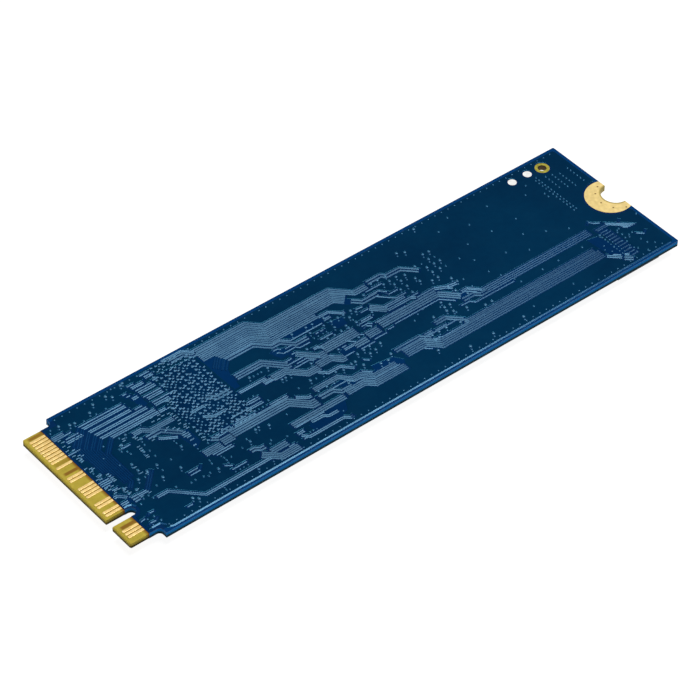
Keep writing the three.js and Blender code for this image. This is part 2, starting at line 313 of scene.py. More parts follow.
# Bundles of parallel traces: how many, their pitch, and the points of their centre line
BUNDLES = (
    # from the connector's end
    (3, 0.26, ((2.6, 7.87), (4.15, 7.87))),
    (1, 0.2, ((4.1, 7.62), (4.95, 7.65))),
    (1, 0.2, ((3.8, 7.05), (5.5, 7.05))),
    (2, 0.26, ((3.6, 6.52), (5.7, 6.52))),
    (1, 0.2, ((2.55, 4.85), (4.25, 4.85))),
    (3, 0.3, ((2.6, -0.95), (4.0, -0.95))),
    (1, 0.2, ((2.7, -1.57), (3.5, -1.57))),
    (1, 0.2, ((3.15, -2.4), (3.9, -2.4))),
    (2, 0.26, ((2.65, -4.75), (3.6, -4.75))),
    (1, 0.2, ((2.7, -5.2), (3.4, -5.2))),
    (4, 0.25, ((4.1, -4.9), (4.85, -4.9))),
    (2, 0.26, ((4.9, -4.72), (6.15, -4.72), (8.3, -2.57))),
    (2, 0.26, ((2.65, -3.4), (3.1, -3.4), (3.9, -4.2))),
    # data lanes, which turn down towards the tongue and along it
    (1, 0.2, ((11.9, 7.75), (6.0, 7.75), (3.75, 5.5), (3.75, 3.2))),
    (2, 0.26, ((12.05, 7.22), (6.25, 7.22), (4.1, 5.07), (4.1, 0.4))),
    (2, 0.26, ((12.15, 6.38), (6.5, 6.38), (4.6, 4.48), (4.6, -0.6))),
    (2, 0.26, ((13.8, 5.56), (6.75, 5.56), (5.1, 3.91), (5.1, -2.2))),
    (2, 0.26, ((14.35, 4.8), (6.95, 4.8), (5.6, 3.45), (5.6, -2.6), (4.9, -3.3))),
    (2, 0.26, ((14.4, 4.2), (7.95, 4.2), (6.1, 2.35), (6.1, -1.9))),
    # between the lanes and the controller
    (1, 0.2, ((12.55, 6.12), (13.55, 6.12))),
    (1, 0.2, ((12.8, 8.75), (13.3, 8.75))),
    (1, 0.2, ((13.0, 8.25), (13.5, 8.25))),
    (2, 0.26, ((13.35, 7.6), (14.1, 7.6))),
    (1, 0.2, ((14.0, 9.55), (14.9, 9.55))),
    (2, 0.26, ((14.25, 9.05), (15.9, 9.05))),
    (1, 0.2, ((14.4, 8.45), (16.6, 8.45))),
    (2, 0.28, ((14.5, 7.95), (16.75, 7.95))),
    (1, 0.2, ((14.45, 7.12), (16.9, 7.12), (17.1, 7.3), (17.7, 7.3))),
    (2, 0.28, ((14.7, 6.62), (16.8, 6.62))),
    (1, 0.2, ((14.75, 5.85), (17.9, 5.85))),
    (2, 0.28, ((14.75, 5.33), (16.8, 5.33))),
    (2, 0.26, ((14.5, 4.15), (15.4, 4.15))),
    (1, 0.2, ((16.15, 10.1), (17.5, 10.1))),
    (2, 0.28, ((16.45, 9.55), (17.6, 9.55))),
    (1, 0.2, ((16.9, 8.66), (17.8, 8.66))),
    (3, 0.25, ((10.05, 3.08), (11.2, 3.08), (11.95, 2.38), (15.05, 2.38))),
    (3, 0.22, ((10.95, 1.72), (12.8, 1.72), (14.6, -0.08))),
    (2, 0.24, ((11.9, 0.85), (12.4, 0.5), (13.7, -0.3))),
    (1, 0.2, ((7.95, 2.07), (8.9, 2.07))),
    (1, 0.2, ((14.2, -0.1), (14.9, -0.1))),
    (2, 0.3, ((14.2, -0.55), (15.1, -0.55))),
    (1, 0.2, ((14.4, -0.98), (15.0, -0.98))),
    (1, 0.2, ((14.4, -1.55), (14.95, -1.55))),
    # controller field
    (2, 0.22, ((19.5, 10.45), (22.35, 10.45), (23.2, 9.6), (23.5, 9.6))),
    (3, 0.2, ((20.3, 9.85), (22.1, 9.85), (22.9, 9.05), (23.3, 9.05))),
    (3, 0.22, ((19.95, 2.9), (20.95, 1.95), (22.85, 1.95))),
    (2, 0.24, ((17.1, 1.85), (19.0, 1.85))),
    (2, 0.24, ((17.8, 0.55), (18.8, -0.15), (20.4, -0.15))),
    (2, 0.3, ((22.9, -0.95), (24.6, -0.95))),
    (1, 0.2, ((20.3, -1.58), (24.5, -1.58))),
    (1, 0.2, ((22.1, -1.84), (24.5, -1.84))),
    (1, 0.2, ((20.1, -2.35), (21.6, -2.35))),
    # wide bus from the controller's upper edge to the second flash package
    (4, 0.2, ((23.5, 9.45), (30.7, 9.45), (32.25, 7.9), (41.87, 7.9), (43.99, 5.78), (45.8, 5.78))),
    (8, 0.2, ((23.3, 8.3), (30.2, 8.3), (31.75, 6.75), (41.35, 6.75), (42.45, 5.65))),
    (4, 0.19, ((23.6, 5.7), (24.97, 7.07), (29.7, 7.07), (31.32, 5.45), (38.05, 5.45))),
    (1, 0.2, (
        (24.0, 5.1), (25.3, 6.5), (29.45, 6.5), (31.0, 4.95), (32.25, 4.95), (33.1, 4.12),
        (37.8, 4.12),
    )),
    (3, 0.2, (
        (24.2, 4.9), (25.45, 6.13), (29.3, 6.13), (30.85, 4.6), (31.95, 4.6), (33.25, 3.3),
        (35.0, 3.3),
    )),
    (2, 0.22, ((38.05, 5.15), (39.5, 5.15), (40.7, 3.97), (41.0, 3.97))),
    (2, 0.24, ((38.3, 4.42), (39.25, 4.42))),
    # flash packages, upper half
    (4, 0.25, ((24.5, 3.22), (28.25, 3.22), (30.3, 1.12), (30.6, 1.12))),
    (1, 0.2, ((30.6, 1.12), (32.85, 1.12), (34.1, -0.1))),
    (1, 0.2, ((31.3, 0.68), (32.75, 0.68), (33.5, -0.1))),
    (1, 0.2, ((30.5, 0.27), (32.8, 0.27), (33.2, -0.1))),
    (1, 0.2, ((30.2, 3.78), (30.5, 3.95), (31.05, 3.95), (31.4, 3.6))),
    (1, 0.2, (
        (30.3, 3.25), (30.6, 3.45), (30.9, 3.3), (31.2, 2.92), (32.9, 2.92), (33.3, 2.52),
        (34.7, 2.52),
    )),
    (1, 0.2, ((31.8, 3.42), (32.7, 3.42))),
    (1, 0.2, ((29.4, 2.7), (30.3, 1.7), (31.4, 1.7))),
    (1, 0.2, ((31.6, 2.1), (31.8, 2.22), (32.3, 2.22))),
    (4, 0.2, ((32.2, 2.0), (34.15, 0.1), (35.0, 0.1))),
    (2, 0.22, ((34.3, 1.35), (34.9, 1.35), (35.4, 0.85))),
    (7, 0.2, ((35.1, 0.65), (40.0, 0.65))),
    (1, 0.2, ((35.9, 2.1), (37.7, 2.1))),
    (1, 0.2, ((40.0, -0.02), (40.4, -0.35))),
    (1, 0.2, ((36.1, 3.2), (36.5, 3.2))),
    (1, 0.2, ((36.75, 3.2), (37.2, 3.2))),
    (3, 0.22, ((42.8, 4.95), (43.75, 4.0), (46.0, 4.0))),
    (1, 0.2, ((45.5, 3.85), (47.2, 2.13), (48.7, 2.13))),
    (1, 0.2, ((44.9, 4.35), (46.4, 4.35), (47.1, 3.6))),
    (1, 0.2, ((46.6, 4.0), (47.0, 3.15), (48.3, 3.1))),
    (1, 0.2, ((45.1, 5.08), (47.5, 5.08))),
    (3, 0.22, ((46.2, 6.2), (48.3, 6.2), (48.75, 5.72), (50.8, 5.68), (52.4, 4.1))),
    (1, 0.2, ((48.9, 5.45), (50.75, 5.45))),
    (1, 0.2, ((42.4, 2.72), (43.5, 2.72))),
    (5, 0.2, ((43.75, 2.75), (45.2, 1.3))),
    (2, 0.27, ((45.0, 1.73), (48.15, 1.73))),
    (2, 0.26, ((45.1, 1.1), (48.6, 1.1), (49.1, 0.75))),
    (1, 0.2, ((48.6, 1.22), (49.8, 1.22))),
    (1, 0.2, ((41.5, 1.6), (42.95, 1.6))),
    (1, 0.2, ((41.0, 1.3), (43.0, 1.3))),
    (1, 0.2, ((41.0, 0.85), (41.9, 0.85), (42.3, 0.5))),
    (1, 0.2, ((40.9, 0.45), (41.5, 0.62), (42.0, 0.2))),
    (1, 0.2, ((42.3, 3.5), (43.2, 3.4))),
    # middle bus
    (6, 0.2, ((42.8, -0.2), (51.5, -0.2))),
    (4, 0.24, ((51.4, -0.35), (53.35, -2.3))),
    (1, 0.2, ((42.6, 0.42), (47.2, 0.42))),
    (2, 0.3, ((49.2, 0.55), (51.75, 0.55), (52.9, 0.0), (53.4, -0.5))),
    (1, 0.2, ((44.3, -1.15), (51.0, -1.15), (52.35, -2.5))),
    (1, 0.2, ((43.0, -1.4), (43.9, -1.4))),
    (2, 0.3, ((52.9, -0.1), (54.4, -0.3))),
    (1, 0.2, ((53.1, -1.98), (54.3, -1.98), (55.3, -2.9))),
    (2, 0.22, ((53.9, -1.75), (54.75, -1.75), (56.0, -2.98), (56.4, -2.98))),
    (3, 0.22, ((53.1, -2.95), (54.75, -2.95), (55.4, -3.52), (56.4, -3.52))),
    (4, 0.3, ((56.4, -3.31), (72.6, -3.31))),
    (1, 0.2, ((52.3, -3.55), (53.55, -3.62), (54.0, -4.15), (59.9, -4.22))),
    # flash packages, lower half
    (5, 0.2, ((27.7, 0.5), (29.5, 0.5), (31.35, -1.35), (32.9, -1.35))),
    (1, 0.2, ((26.4, 0.25), (27.9, 0.25))),
    (2, 0.24, ((23.3, 1.0), (27.1, 1.0))),
    (2, 0.24, ((26.4, 0.55), (27.6, 0.55))),
    (4, 0.28, ((33.0, -0.95), (34.9, -0.95), (35.85, -1.9), (36.3, -1.9))),
    (2, 0.25, ((32.3, -1.85), (33.15, -2.7), (34.8, -2.7), (36.0, -3.9))),
    (1, 0.2, ((34.0, -0.45), (34.9, -0.45), (35.4, -0.9))),
    (1, 0.2, ((36.3, -1.8), (37.7, -1.8))),
    (1, 0.2, ((38.0, 0.2), (38.9, -0.7))),
    (2, 0.22, ((37.0, -0.9), (38.4, -0.9))),
    (1, 0.2, ((37.0, -0.45), (37.6, -0.45))),
    (4, 0.22, ((38.3, -1.15), (40.2, -1.15))),
    (1, 0.2, ((38.6, -2.0), (40.6, -2.0))),
    (5, 0.22, ((40.5, -0.7), (42.3, -0.7))),
    (1, 0.2, ((40.8, -1.7), (42.6, -1.7))),
    (3, 0.25, (
        (30.1, -3.85), (33.5, -3.85), (34.75, -5.1), (35.85, -5.1), (36.95, -6.2), (40.15, -6.2),
    )),
    (1, 0.2, (
        (29.85, -4.93), (33.9, -4.93), (34.6, -5.55), (35.5, -5.55), (36.6, -6.62), (40.4, -6.62),
    )),
    (3, 0.2, ((29.9, -5.25), (31.75, -5.25), (32.45, -5.95), (34.0, -5.95))),
    (5, 0.2, ((32.7, -6.42), (35.35, -6.42), (36.3, -7.3), (40.75, -7.3))),
    (3, 0.2, ((34.6, -5.75), (35.7, -5.85))),
    (2, 0.24, ((36.2, -4.9), (37.1, -5.75))),
    (1, 0.2, ((37.6, -3.5), (38.15, -4.0))),
    (4, 0.2, ((24.65, -6.78), (32.2, -6.78))),
    (1, 0.2, ((24.8, -7.22), (28.8, -7.22))),
    (2, 0.25, ((26.7, -7.6), (28.35, -7.65), (28.85, -8.05), (30.15, -8.05))),
    (2, 0.25, ((24.5, -8.6), (25.2, -9.28), (30.0, -9.28), (30.6, -9.8), (31.0, -9.7))),
    (2, 0.25, ((24.3, -8.15), (25.2, -8.15))),
    (1, 0.2, ((24.4, -9.2), (25.0, -9.2))),
    (3, 0.2, ((41.35, -4.65), (45.05, -4.65), (46.0, -5.55))),
    (1, 0.2, ((45.4, -5.05), (50.3, -5.05), (51.0, -5.6))),
    (7, 0.2, ((42.0, -5.65), (45.0, -5.65), (46.35, -7.02), (71.3, -7.02))),
    (1, 0.2, ((44.3, -6.4), (45.0, -7.0))),
    (1, 0.2, ((46.8, -5.9), (47.1, -6.2), (51.1, -6.2))),
    (2, 0.24, ((45.9, -5.9), (46.8, -6.25))),
    (2, 0.26, ((45.75, -4.75), (46.85, -4.75))),
    (1, 0.2, ((47.2, -4.85), (48.9, -4.85))),
    (1, 0.2, ((48.7, -3.72), (49.5, -3.72), (49.8, -4.0))),
    (3, 0.18, ((47.9, -4.0), (49.5, -4.0), (51.0, -5.45))),
    (3, 0.23, ((50.9, -5.7), (51.3, -6.0), (70.9, -6.0))),
    # row of traces from the controller's lower edge
    (4, 0.26, ((14.35, -4.2), (16.75, -4.2))),
    (5, 0.22, ((17.0, -3.95), (18.5, -3.95))),
    (6, 0.2, ((18.6, -3.58), (26.6, -3.58), (28.5, -5.48), (29.3, -5.48))),
    (2, 0.26, ((19.6, -2.73), (22.7, -2.73))),
    (1, 0.2, ((22.7, -2.9), (24.8, -2.9))),
    (2, 0.28, ((24.75, -2.74), (27.2, -2.74))),
    (1, 0.2, ((17.2, -3.0), (18.1, -3.0))),
    (1, 0.2, ((17.0, -2.7), (17.6, -2.7))),
    (3, 0.2, ((16.4, -2.8), (17.1, -3.3))),
    (3, 0.22, ((18.0, -2.7), (19.2, -2.7))),
    (1, 0.2, ((15.0, -4.85), (17.6, -4.85))),
    (1, 0.2, ((15.3, -5.18), (17.7, -5.18))),
    (2, 0.24, ((27.8, -3.5), (28.9, -4.4), (29.3, -4.4))),
    # along the lower edge
    (2, 0.25, ((6.4, -6.2), (7.85, -6.2), (10.8, -9.17), (19.8, -9.17))),
    (4, 0.2, ((20.3, -8.45), (22.6, -8.45))),
    (5, 0.2, ((19.2, -8.2), (20.85, -9.75), (23.3, -9.75))),
    (1, 0.2, ((21.0, -9.3), (22.1, -9.3))),
    (2, 0.22, ((22.3, -9.2), (23.1, -9.2))),
    (3, 0.2, ((18.6, -7.0), (19.2, -7.0), (19.7, -7.4), (20.3, -7.4))),
    (1, 0.2, ((11.2, -5.4), (12.5, -5.4))),
    (1, 0.2, ((11.2, -5.85), (12.5, -5.85), (13.0, -5.3))),
    (1, 0.2, ((15.3, -7.97), (17.3, -7.97))),
    (1, 0.2, ((15.0, -6.95), (15.7, -7.5))),
    (1, 0.2, ((8.05, -9.4), (8.75, -9.4))),
    (1, 0.2, ((4.0, -7.72), (4.3, -7.55), (4.85, -7.6))),
    (1, 0.2, ((3.2, -9.0), (3.5, -8.82), (4.2, -8.86), (4.6, -8.6))),
    (1, 0.2, ((2.8, -8.05), (3.4, -7.95))),
    # screw end
    (2, 0.3, ((71.4, -7.75), (72.7, -9.0))),
    (1, 0.2, ((72.2, -8.0), (72.9, -8.6))),
    (3, 0.2, ((72.8, -9.3), (73.6, -10.0))),
    (2, 0.2, ((73.3, -8.8), (73.7, -9.2))),
    (2, 0.22, ((75.2, -3.35), (76.5, -4.6))),
    (1, 0.2, ((76.34, -4.13), (78.0, -5.57))),
    (1, 0.2, ((76.38, -4.46), (77.66, -5.58))),
    (1, 0.2, ((76.42, -4.78), (77.3, -5.54))),
    (1, 0.2, ((76.48, -5.08), (76.95, -5.5))),
    (10, 0.52, ((73.85, -7.09), (74.85, -7.09))),
    (1, 0.2, ((77.0, -6.9), (77.7, -7.5), (78.2, -7.15))),
    (1, 0.2, ((76.7, -4.1), (77.0, -3.85))),
    (1, 0.2, ((73.6, -4.3), (74.7, -4.3))),
    (2, 0.26, ((73.5, -3.65), (75.4, -3.65))),
    (1, 0.2, ((73.4, -2.15), (73.8, -1.9), (74.2, -2.5), (74.8, -2.85))),
)

# Pairs of vias joined by a short trace: the larger one's place. The smaller lies VIA_STEP away.
LINKED_VIAS = (
    (4.4, 9.2), (5.5, 8.6), (6.1, 8.5), (8.35, 8.8), (9.4, 9.65), (11.25, 9.8), (11.8, 9.25),
    (13.6, 10.2), (14.0, 10.4), (3.4, 3.6), (3.6, 0.3), (4.3, -2.9), (4.3, -3.9), (5.3, -3.95),
    (6.4, -2.85), (7.2, -0.55), (7.2, -1.7), (7.9, -2.4), (9.3, -2.3), (8.7, -4.2), (11.1, -4.25),
    (9.3, -8.7), (9.8, -9.2), (14.2, -6.95), (13.1, -1.7), (17.6, -9.7), (19.5, -5.8), (21.1, -4.7),
    (21.6, -4.6), (22.7, -5.1), (9.4, 0.2), (8.1, 2.5), (9.4, 3.6), (10.4, 2.0), (33.9, 4.8),
    (35.9, 4.7), (36.8, 4.7), (38.5, 4.7), (35.7, 3.7), (37.7, 3.7), (38.8, 3.7), (39.8, 3.7),
    (40.6, 3.7), (41.7, 3.7), (38.5, 2.7), (39.7, 2.1), (36.7, 1.75), (37.7, 1.7), (38.7, 1.7),
    (39.7, 1.6), (33.7, 1.8), (42.1, 3.2), (43.5, 2.0), (44.6, 4.8), (46.5, 5.8), (47.5, 5.8),
    (48.7, 5.8), (47.6, 4.8), (48.5, 4.8), (49.6, 4.9), (50.6, 4.5), (52.5, 4.9), (48.6, 4.0),
    (49.6, 4.0), (53.5, 3.9), (53.5, 2.9), (48.6, 2.9), (49.6, 2.9), (51.2, 3.3), (51.3, 2.6),
    (52.5, 1.8), (53.4, 1.8), (49.4, 1.7), (52.3, 8.0), (53.2, 7.55), (54.6, 5.95), (54.6, 4.9),
    (54.6, 3.9), (54.6, 2.85), (55.5, 5.9), (55.5, 3.9), (54.5, 0.7), (54.7, -0.1), (56.7, 10.05),
    (56.7, -9.45), (48.6, -9.4), (52.1, -9.4), (32.6, -0.3), (36.5, -0.4), (39.6, -0.3),
    (32.6, -2.4), (34.8, -3.4), (33.9, -3.1), (36.1, -3.2), (36.7, -3.2), (37.7, -2.4),
    (38.7, -2.3), (39.6, -2.2), (38.9, -3.2), (39.8, -3.1), (40.9, -2.6), (37.1, -4.2),
    (38.8, -5.2), (39.8, -5.3), (40.7, -4.7), (33.9, -5.4), (32.6, -4.4), (30.4, -4.3),
    (31.6, -4.3), (30.8, -2.4), (28.4, -0.3), (28.9, -0.3), (29.6, -0.3), (40.9, 2.9), (41.0, 1.8),
    (46.4, -5.3), (47.4, -5.3), (48.5, -5.3), (50.4, -5.6), (50.8, -1.7), (50.6, -2.6),
    (51.4, -2.6), (50.4, -3.2), (51.0, -3.7), (48.5, -3.1), (53.5, -1.2), (54.3, -2.4),
    (52.6, -4.2), (54.6, -5.2), (55.6, -5.2), (52.3, 0.1), (53.4, -0.6), (25.7, 2.2), (28.3, 2.2),
    (45.3, -7.6), (46.4, -7.2),
)

# Stubs: short traces of one length, each starting at a place and running away from the tongue
STUB_LENGTH = 0.42
STUBS = (
    (3.0, 3.45), (3.05, 3.2), (2.9, 3.85), (3.6, 3.9), (2.65, 2.05), (3.1, 1.75), (3.3, 1.55),
    (2.9, 1.3), (3.05, 0.38), (3.1, 0.15), (2.7, -0.1), (3.0, -0.25), (4.0, -0.1), (4.1, -0.45),
    (4.1, -0.8), (4.05, -1.07), (4.1, -1.35), (2.65, -1.75), (3.35, -1.85), (2.8, -2.1),
    (3.25, -2.62), (3.7, -2.65), (4.3, -2.95), (4.05, -3.15), (3.0, -2.9), (4.1, -3.5),
    (4.25, -3.85), (5.2, -3.9), (5.0, -5.1), (6.0, -5.15), (9.2, 1.2), (9.2, 0.8), (9.15, 0.5),
    (9.1, -0.45), (9.05, -0.72), (9.7, 2.7), (9.8, 2.4), (9.9, 2.05), (7.0, -1.1), (7.05, -2.2),
    (7.5, -2.6), (7.8, 2.6), (7.7, 2.1), (8.6, 3.2), (8.5, 2.9), (11.1, 1.02), (11.5, 1.3),
    (12.8, 3.35), (13.5, 3.25), (14.2, 3.4), (14.9, 3.3), (13.5, 1.6), (13.1, 1.35), (14.0, 1.1),
    (14.9, 1.27), (14.3, 0.7), (15.1, 3.0), (15.2, 2.6), (15.2, 2.2), (15.2, 1.72), (15.3, 0.8),
    (15.1, 0.5), (15.2, 0.2), (15.7, -0.9), (15.6, -1.5), (15.6, -2.0), (15.5, -2.4), (14.2, -2.4),
    (13.0, 4.0), (13.9, 3.75), (15.5, 4.0), (15.9, 3.55), (16.2, 4.6), (16.0, 5.0), (2.9, 7.3),
    (3.1, 6.9), (2.8, 6.3), (3.2, 5.9), (2.7, 5.5), (3.3, 5.2), (2.8, 4.4), (3.3, 4.15),
)

# Vias on their own
SINGLE_VIAS = (
    (7.1, 8.1), (8.8, 8.15), (10.15, 8.2), (12.4, 10.4), (3.3, 9.2), (3.0, 8.8), (6.4, 3.6),
    (5.3, 2.1), (8.5, 3.5), (7.5, 2.1), (7.5, 1.7), (8.0, 1.3), (8.1, 0.8), (6.1, 0.2),
    (11.6, 3.75), (10.1, 1.0), (3.3, 1.4), (3.1, 0.9), (7.2, -3.0), (7.4, -4.8), (5.1, -5.5),
    (5.8, -5.45), (6.0, -6.05), (4.4, -6.0), (11.0, -2.6), (10.0, -0.1), (10.0, -1.1), (13.0, -0.5),
    (13.0, -1.0), (9.3, -3.35), (10.6, -6.8), (11.2, -6.75), (12.2, -6.9), (12.7, -7.2),
    (13.1, -6.9), (8.9, -6.3), (3.6, -8.2), (4.4, -8.3), (3.6, -9.2), (4.7, -9.2), (12.95, -9.6),
    (12.9, -10.05), (14.2, -5.4), (14.1, -5.9), (15.6, -5.6), (15.7, -6.05), (15.7, -6.5),
    (15.6, -6.95), (16.4, -6.4), (18.2, -6.1), (19.4, -5.3), (19.6, -7.7), (21.4, -7.1),
    (21.0, -7.5), (23.2, -7.7), (19.6, -9.8), (15.4, -8.45), (16.0, -8.45), (16.5, -8.45),
    (17.1, -8.45), (25.3, -5.0), (25.1, -2.0), (22.9, -2.45), (23.4, -2.45), (23.95, -2.45),
    (24.5, -2.45), (22.9, -0.45), (23.5, -0.45), (24.2, -0.45), (25.6, -8.8), (26.0, -8.8),
    (26.5, -8.8), (15.7, -3.15), (14.3, -3.1), (26.2, 2.05), (26.8, 2.05), (27.3, 2.05),
    (30.6, -8.45), (30.6, -2.9), (31.5, -2.6), (28.95, -2.6), (36.1, 2.7), (36.8, 2.7), (37.3, 2.7),
    (37.3, 2.4), (35.5, 2.7), (40.95, 2.3), (40.9, 1.2), (50.3, 3.75), (53.4, 4.75), (55.4, 4.75),
    (55.4, 2.7), (55.5, -0.3), (55.5, -1.85), (58.7, 7.8), (61.2, 9.1), (62.4, 6.5), (59.95, 4.0),
    (63.75, 4.0), (66.3, 7.75), (67.5, 3.9), (57.5, 2.7), (58.7, 1.4), (66.3, 1.3), (62.5, 0.1),
    (58.7, -1.15), (59.4, -2.5), (65.0, -1.25), (60.5, -4.8), (63.9, -4.8), (66.4, -4.8),
    (58.8, -8.9), (65.0, -8.9), (68.8, 0.0), (71.3, -1.3), (70.2, -4.8), (71.3, 6.4), (72.5, 7.7),
    (46.4, -2.2), (47.4, -1.55), (48.4, -1.3), (50.2, -2.3), (51.1, -4.1), (60.2, -3.95),
    (73.3, 5.2), (73.3, 4.5), (76.7, -8.0), (76.9, -8.9), (77.6, -9.5), (76.0, -10.0),
    (79.4, -4.35), (76.1, -6.6), (76.7, -6.5), (75.5, -5.2), (75.3, -5.45), (75.9, -5.05),
    (75.5, -6.05), (75.9, -6.9), (75.4, -6.7), (74.7, -6.85), (75.1, -7.3), (74.9, -8.0),
    (74.6, -8.3), (74.6, -8.9), (75.0, -8.6), (75.3, -9.0), (74.8, -9.3), (73.1, -4.75),
    (73.4, -4.5), (73.2, -7.1), (74.5, -4.35), (72.5, -7.5), (72.4, -6.2), (72.0, -6.8),
)

# Straight rows of vias: how many, the first one's place and the step to the next
VIA_ROWS = (
    (10, (73.7, -4.75), (0, -0.52)),
    (12, (73.25, -4.5), (0, -0.5)),
    (14, (74.45, 8.0), (0, -0.55)),
    (12, (74.05, 7.6), (0, -0.62)),
    (6, (76.4, 7.2), (0, -0.55)),
    (6, (77.3, 6.8), (0, -0.55)),
    (6, (78.7, 7.0), (0, -0.58)),
    (5, (75.5, 7.4), (0, -0.6)),
)

# The outline of the controller's via field, which has no copper pour
FIELD_AREA = ((17.6, 9.2), (22.9, 8.9), (23.0, -2.2), (16.2, -2.2), (15.6, 3.4), (17.0, 5.0))

# Other areas with no copper pour, as outlines
BARE_AREAS = (
    (
        (23.1, 7.9), (24.6, 7.9), (25.6, 5.9), (24.9, 5.4), (24.5, 4.0), (24.3, 3.7), (24.1, 1.7),
        (23.2, 1.7), (23.1, 4.6),
    ),
    ((13.3, 8.0), (14.2, 8.2), (14.4, 5.9), (13.9, 5.9), (13.2, 6.6)),
    ((32.8, 5.0), (38.2, 5.0), (38.2, 4.2), (33.4, 4.2)),
    ((38.2, 3.9), (40.3, 3.6), (40.2, 2.2), (38.6, 2.2)),
    ((29.9, 4.0), (31.4, 4.0), (32.2, 2.5), (30.4, 2.3)),
    ((42.4, 5.9), (43.5, 4.9), (42.4, 4.4), (41.4, 5.2)),
    ((28.0, -7.1), (32.0, -7.1), (31.2, -8.6), (30.0, -9.1), (26.2, -9.1), (26.0, -7.9)),
    ((31.9, -4.4), (34.0, -4.4), (34.9, -5.5), (34.6, -6.1), (32.4, -5.2)),
    ((36.2, -0.6), (38.0, -0.6), (38.3, -1.7), (36.4, -1.8)),
    ((37.6, -4.7), (40.6, -5.2), (41.4, -6.3), (41.0, -7.0), (39.9, -6.0), (37.4, -5.9)),
    ((52.6, -1.2), (54.5, -2.1), (54.9, -3.3), (53.4, -3.4), (53.0, -2.4)),
    ((13.8, -0.6), (15.4, 0.4), (15.4, -2.4), (14.2, -3.2)),
    ((71.4, -4.1), (73.0, -4.4), (74.2, -9.4), (73.0, -9.6), (71.8, -7.6), (71.5, -5.6)),
)


# ---------- bare side: relief ----------

# Traces: their widths and rise. A bundle closer than LEAST_PITCH is packed: it is drawn with fewer
# lines over the same width, and TRACE_SHARE of its new pitch is copper.
TRACE_WIDTH = 0.26
SINGLE_WIDTH = 0.18
TRACE_SHARE = 0.78
TRACE_RISE = 0.075
LEAST_PITCH = 0.3
STUB_WIDTH = 0.2
STUB_RISE = 0.058
LINK_WIDTH = 0.16
LINK_RISE = 0.03
LIP_WIDTH = 0.27
LIP_RISE = 0.082

# How deep raised pieces reach into the mask below them
SUNK = 0.012

# Vias: their radii and rises, and the step between the two of a linked pair
VIA_RADIUS = 0.185
SMALL_VIA_RADIUS = 0.125
ROW_VIA_RADIUS = 0.12
STITCH_RADIUS = 0.1
FIELD_VIA_RADIUS = 0.15
VIA_RISE = 0.06
FIELD_VIA_RISE = 0.055
STITCH_RISE = 0.02
VIA_STEP = (-0.22, -0.45)

# The rows of stitching vias along both long edges: their pitch, the first via of each, and how far
# from the screw end they stop
STITCH_PITCH = 1.03
STITCH_ROWS = ((5.0, -10.15), (3.6, 10.3))
STITCH_END = 1.2

# The controller's via field: a grid that starts at its corner. A few vias are left out at random,
# and all of them where the data lanes come in.
FIELD_SEED = 7
FIELD_COLUMNS = 11
FIELD_ROWS = 21
FIELD_START = (15.95, 10.35)
FIELD_PITCH = 0.65
FIELD_SCATTER = 0.02
LEFT_OUT_SHARE = 0.03
LANES_END = (17.0, 5.2)

# Dashes beside the field's vias, as seen from the via, and the shares of vias that have them.
# The first FINE_COLUMNS, and the quarter of the field past BUSY_CORNER, have a share of their own.
# Some vias with no far dash have a further via halfway to their neighbours.
NEAR_DASH = ((-0.12, -0.13), (0.2, -0.13))
NEAR_DASH_SHARE = 0.8
FINE_COLUMNS = 4
FINE_NEAR_DASH_SHARE = 0.5
FAR_DASH = ((0.2, -0.3), (0.48, -0.3))
FAR_DASH_SHARE = 0.35
BUSY_CORNER = (19.5, 2.6)
BUSY_FAR_DASH_SHARE = 0.5
HALFWAY_VIA_SHARE = 0.4

# The copper pour: its rise, the width of its sloping rim, and how far it keeps from other things
POUR_RISE = 0.02
POUR_TOP = BARE + POUR_RISE
POUR_SLOPE = 0.09
BUNDLE_CLEARANCE = 0.29
VIA_CLEARANCE = 0.1
EDGE_PULL_BACK = 0.5
MASK_EDGE_GAP = 0.35
LAND_GAP = 0.35

# The cross-section of a trace under its mask, which has run down towards the near edge:
# share of its half width towards the far edge, and share of its rise
TRACE_SECTION = ((1, -0.3), (0.92, 0.1), (0.45, 0.97), (0.25, 1.0), (-0.95, 0.05), (-1, -0.3))
MIRRORED_SECTION = tuple((-side, up) for side, up in reversed(TRACE_SECTION))

# The cross-section of a via's dome: share of its radius, and share of its rise
VIA_SECTION = ((1, -0.3), (0.92, 0.05), (0.35, 0.9), (0.1, 0.95))

# The cross-section of the pour's rim: share of its slope, and share of its rise
POUR_SECTION = ((0, 1), (0.35, 0.85), (0.75, 0.3))


def add_trace(shape, path, width=TRACE_WIDTH, rise=TRACE_RISE, material=0):
    rings = []
    section = TRACE_SECTION if path[0][0] <= path[-1][0] else MIRRORED_SECTION
    for point, step in zip(path, mitres(path)):
        ring = []
        for side, up in section:
            spot = Vector(point) + step * (side * width / 2)
            ring.append((spot.x, spot.y, BARE + up * rise))
        rings.append(ring)
    for pair in zip(rings, rings[1:]):
        shape.loft(pair, material, smooth=False)


def add_via(shape, x, y, radius, base=BARE, rise=VIA_RISE, count=10, material=0):
    rings = [circle_points(x, y, radius * out, count, base + up * rise) for out, up in VIA_SECTION]
    shape.loft(rings, material)


def parallel_lines(count, pitch, centre):
    return [beside(centre, (i - (count - 1) / 2) * pitch) for i in range(count)]


def bundle_lines():
    """Every trace of the bundles, its width, and whether its bundle is packed."""
    for count, pitch, centre in BUNDLES:
        span = (count - 1) * pitch
        packed = count > 2 and pitch < LEAST_PITCH
        if packed:
            count = max(2, round(span / LEAST_PITCH) + 1)
            pitch = span / (count - 1)
        width = min(TRACE_WIDTH, TRACE_SHARE * pitch) if packed else SINGLE_WIDTH
        for line in parallel_lines(count, pitch, centre):
            yield line, width, packed


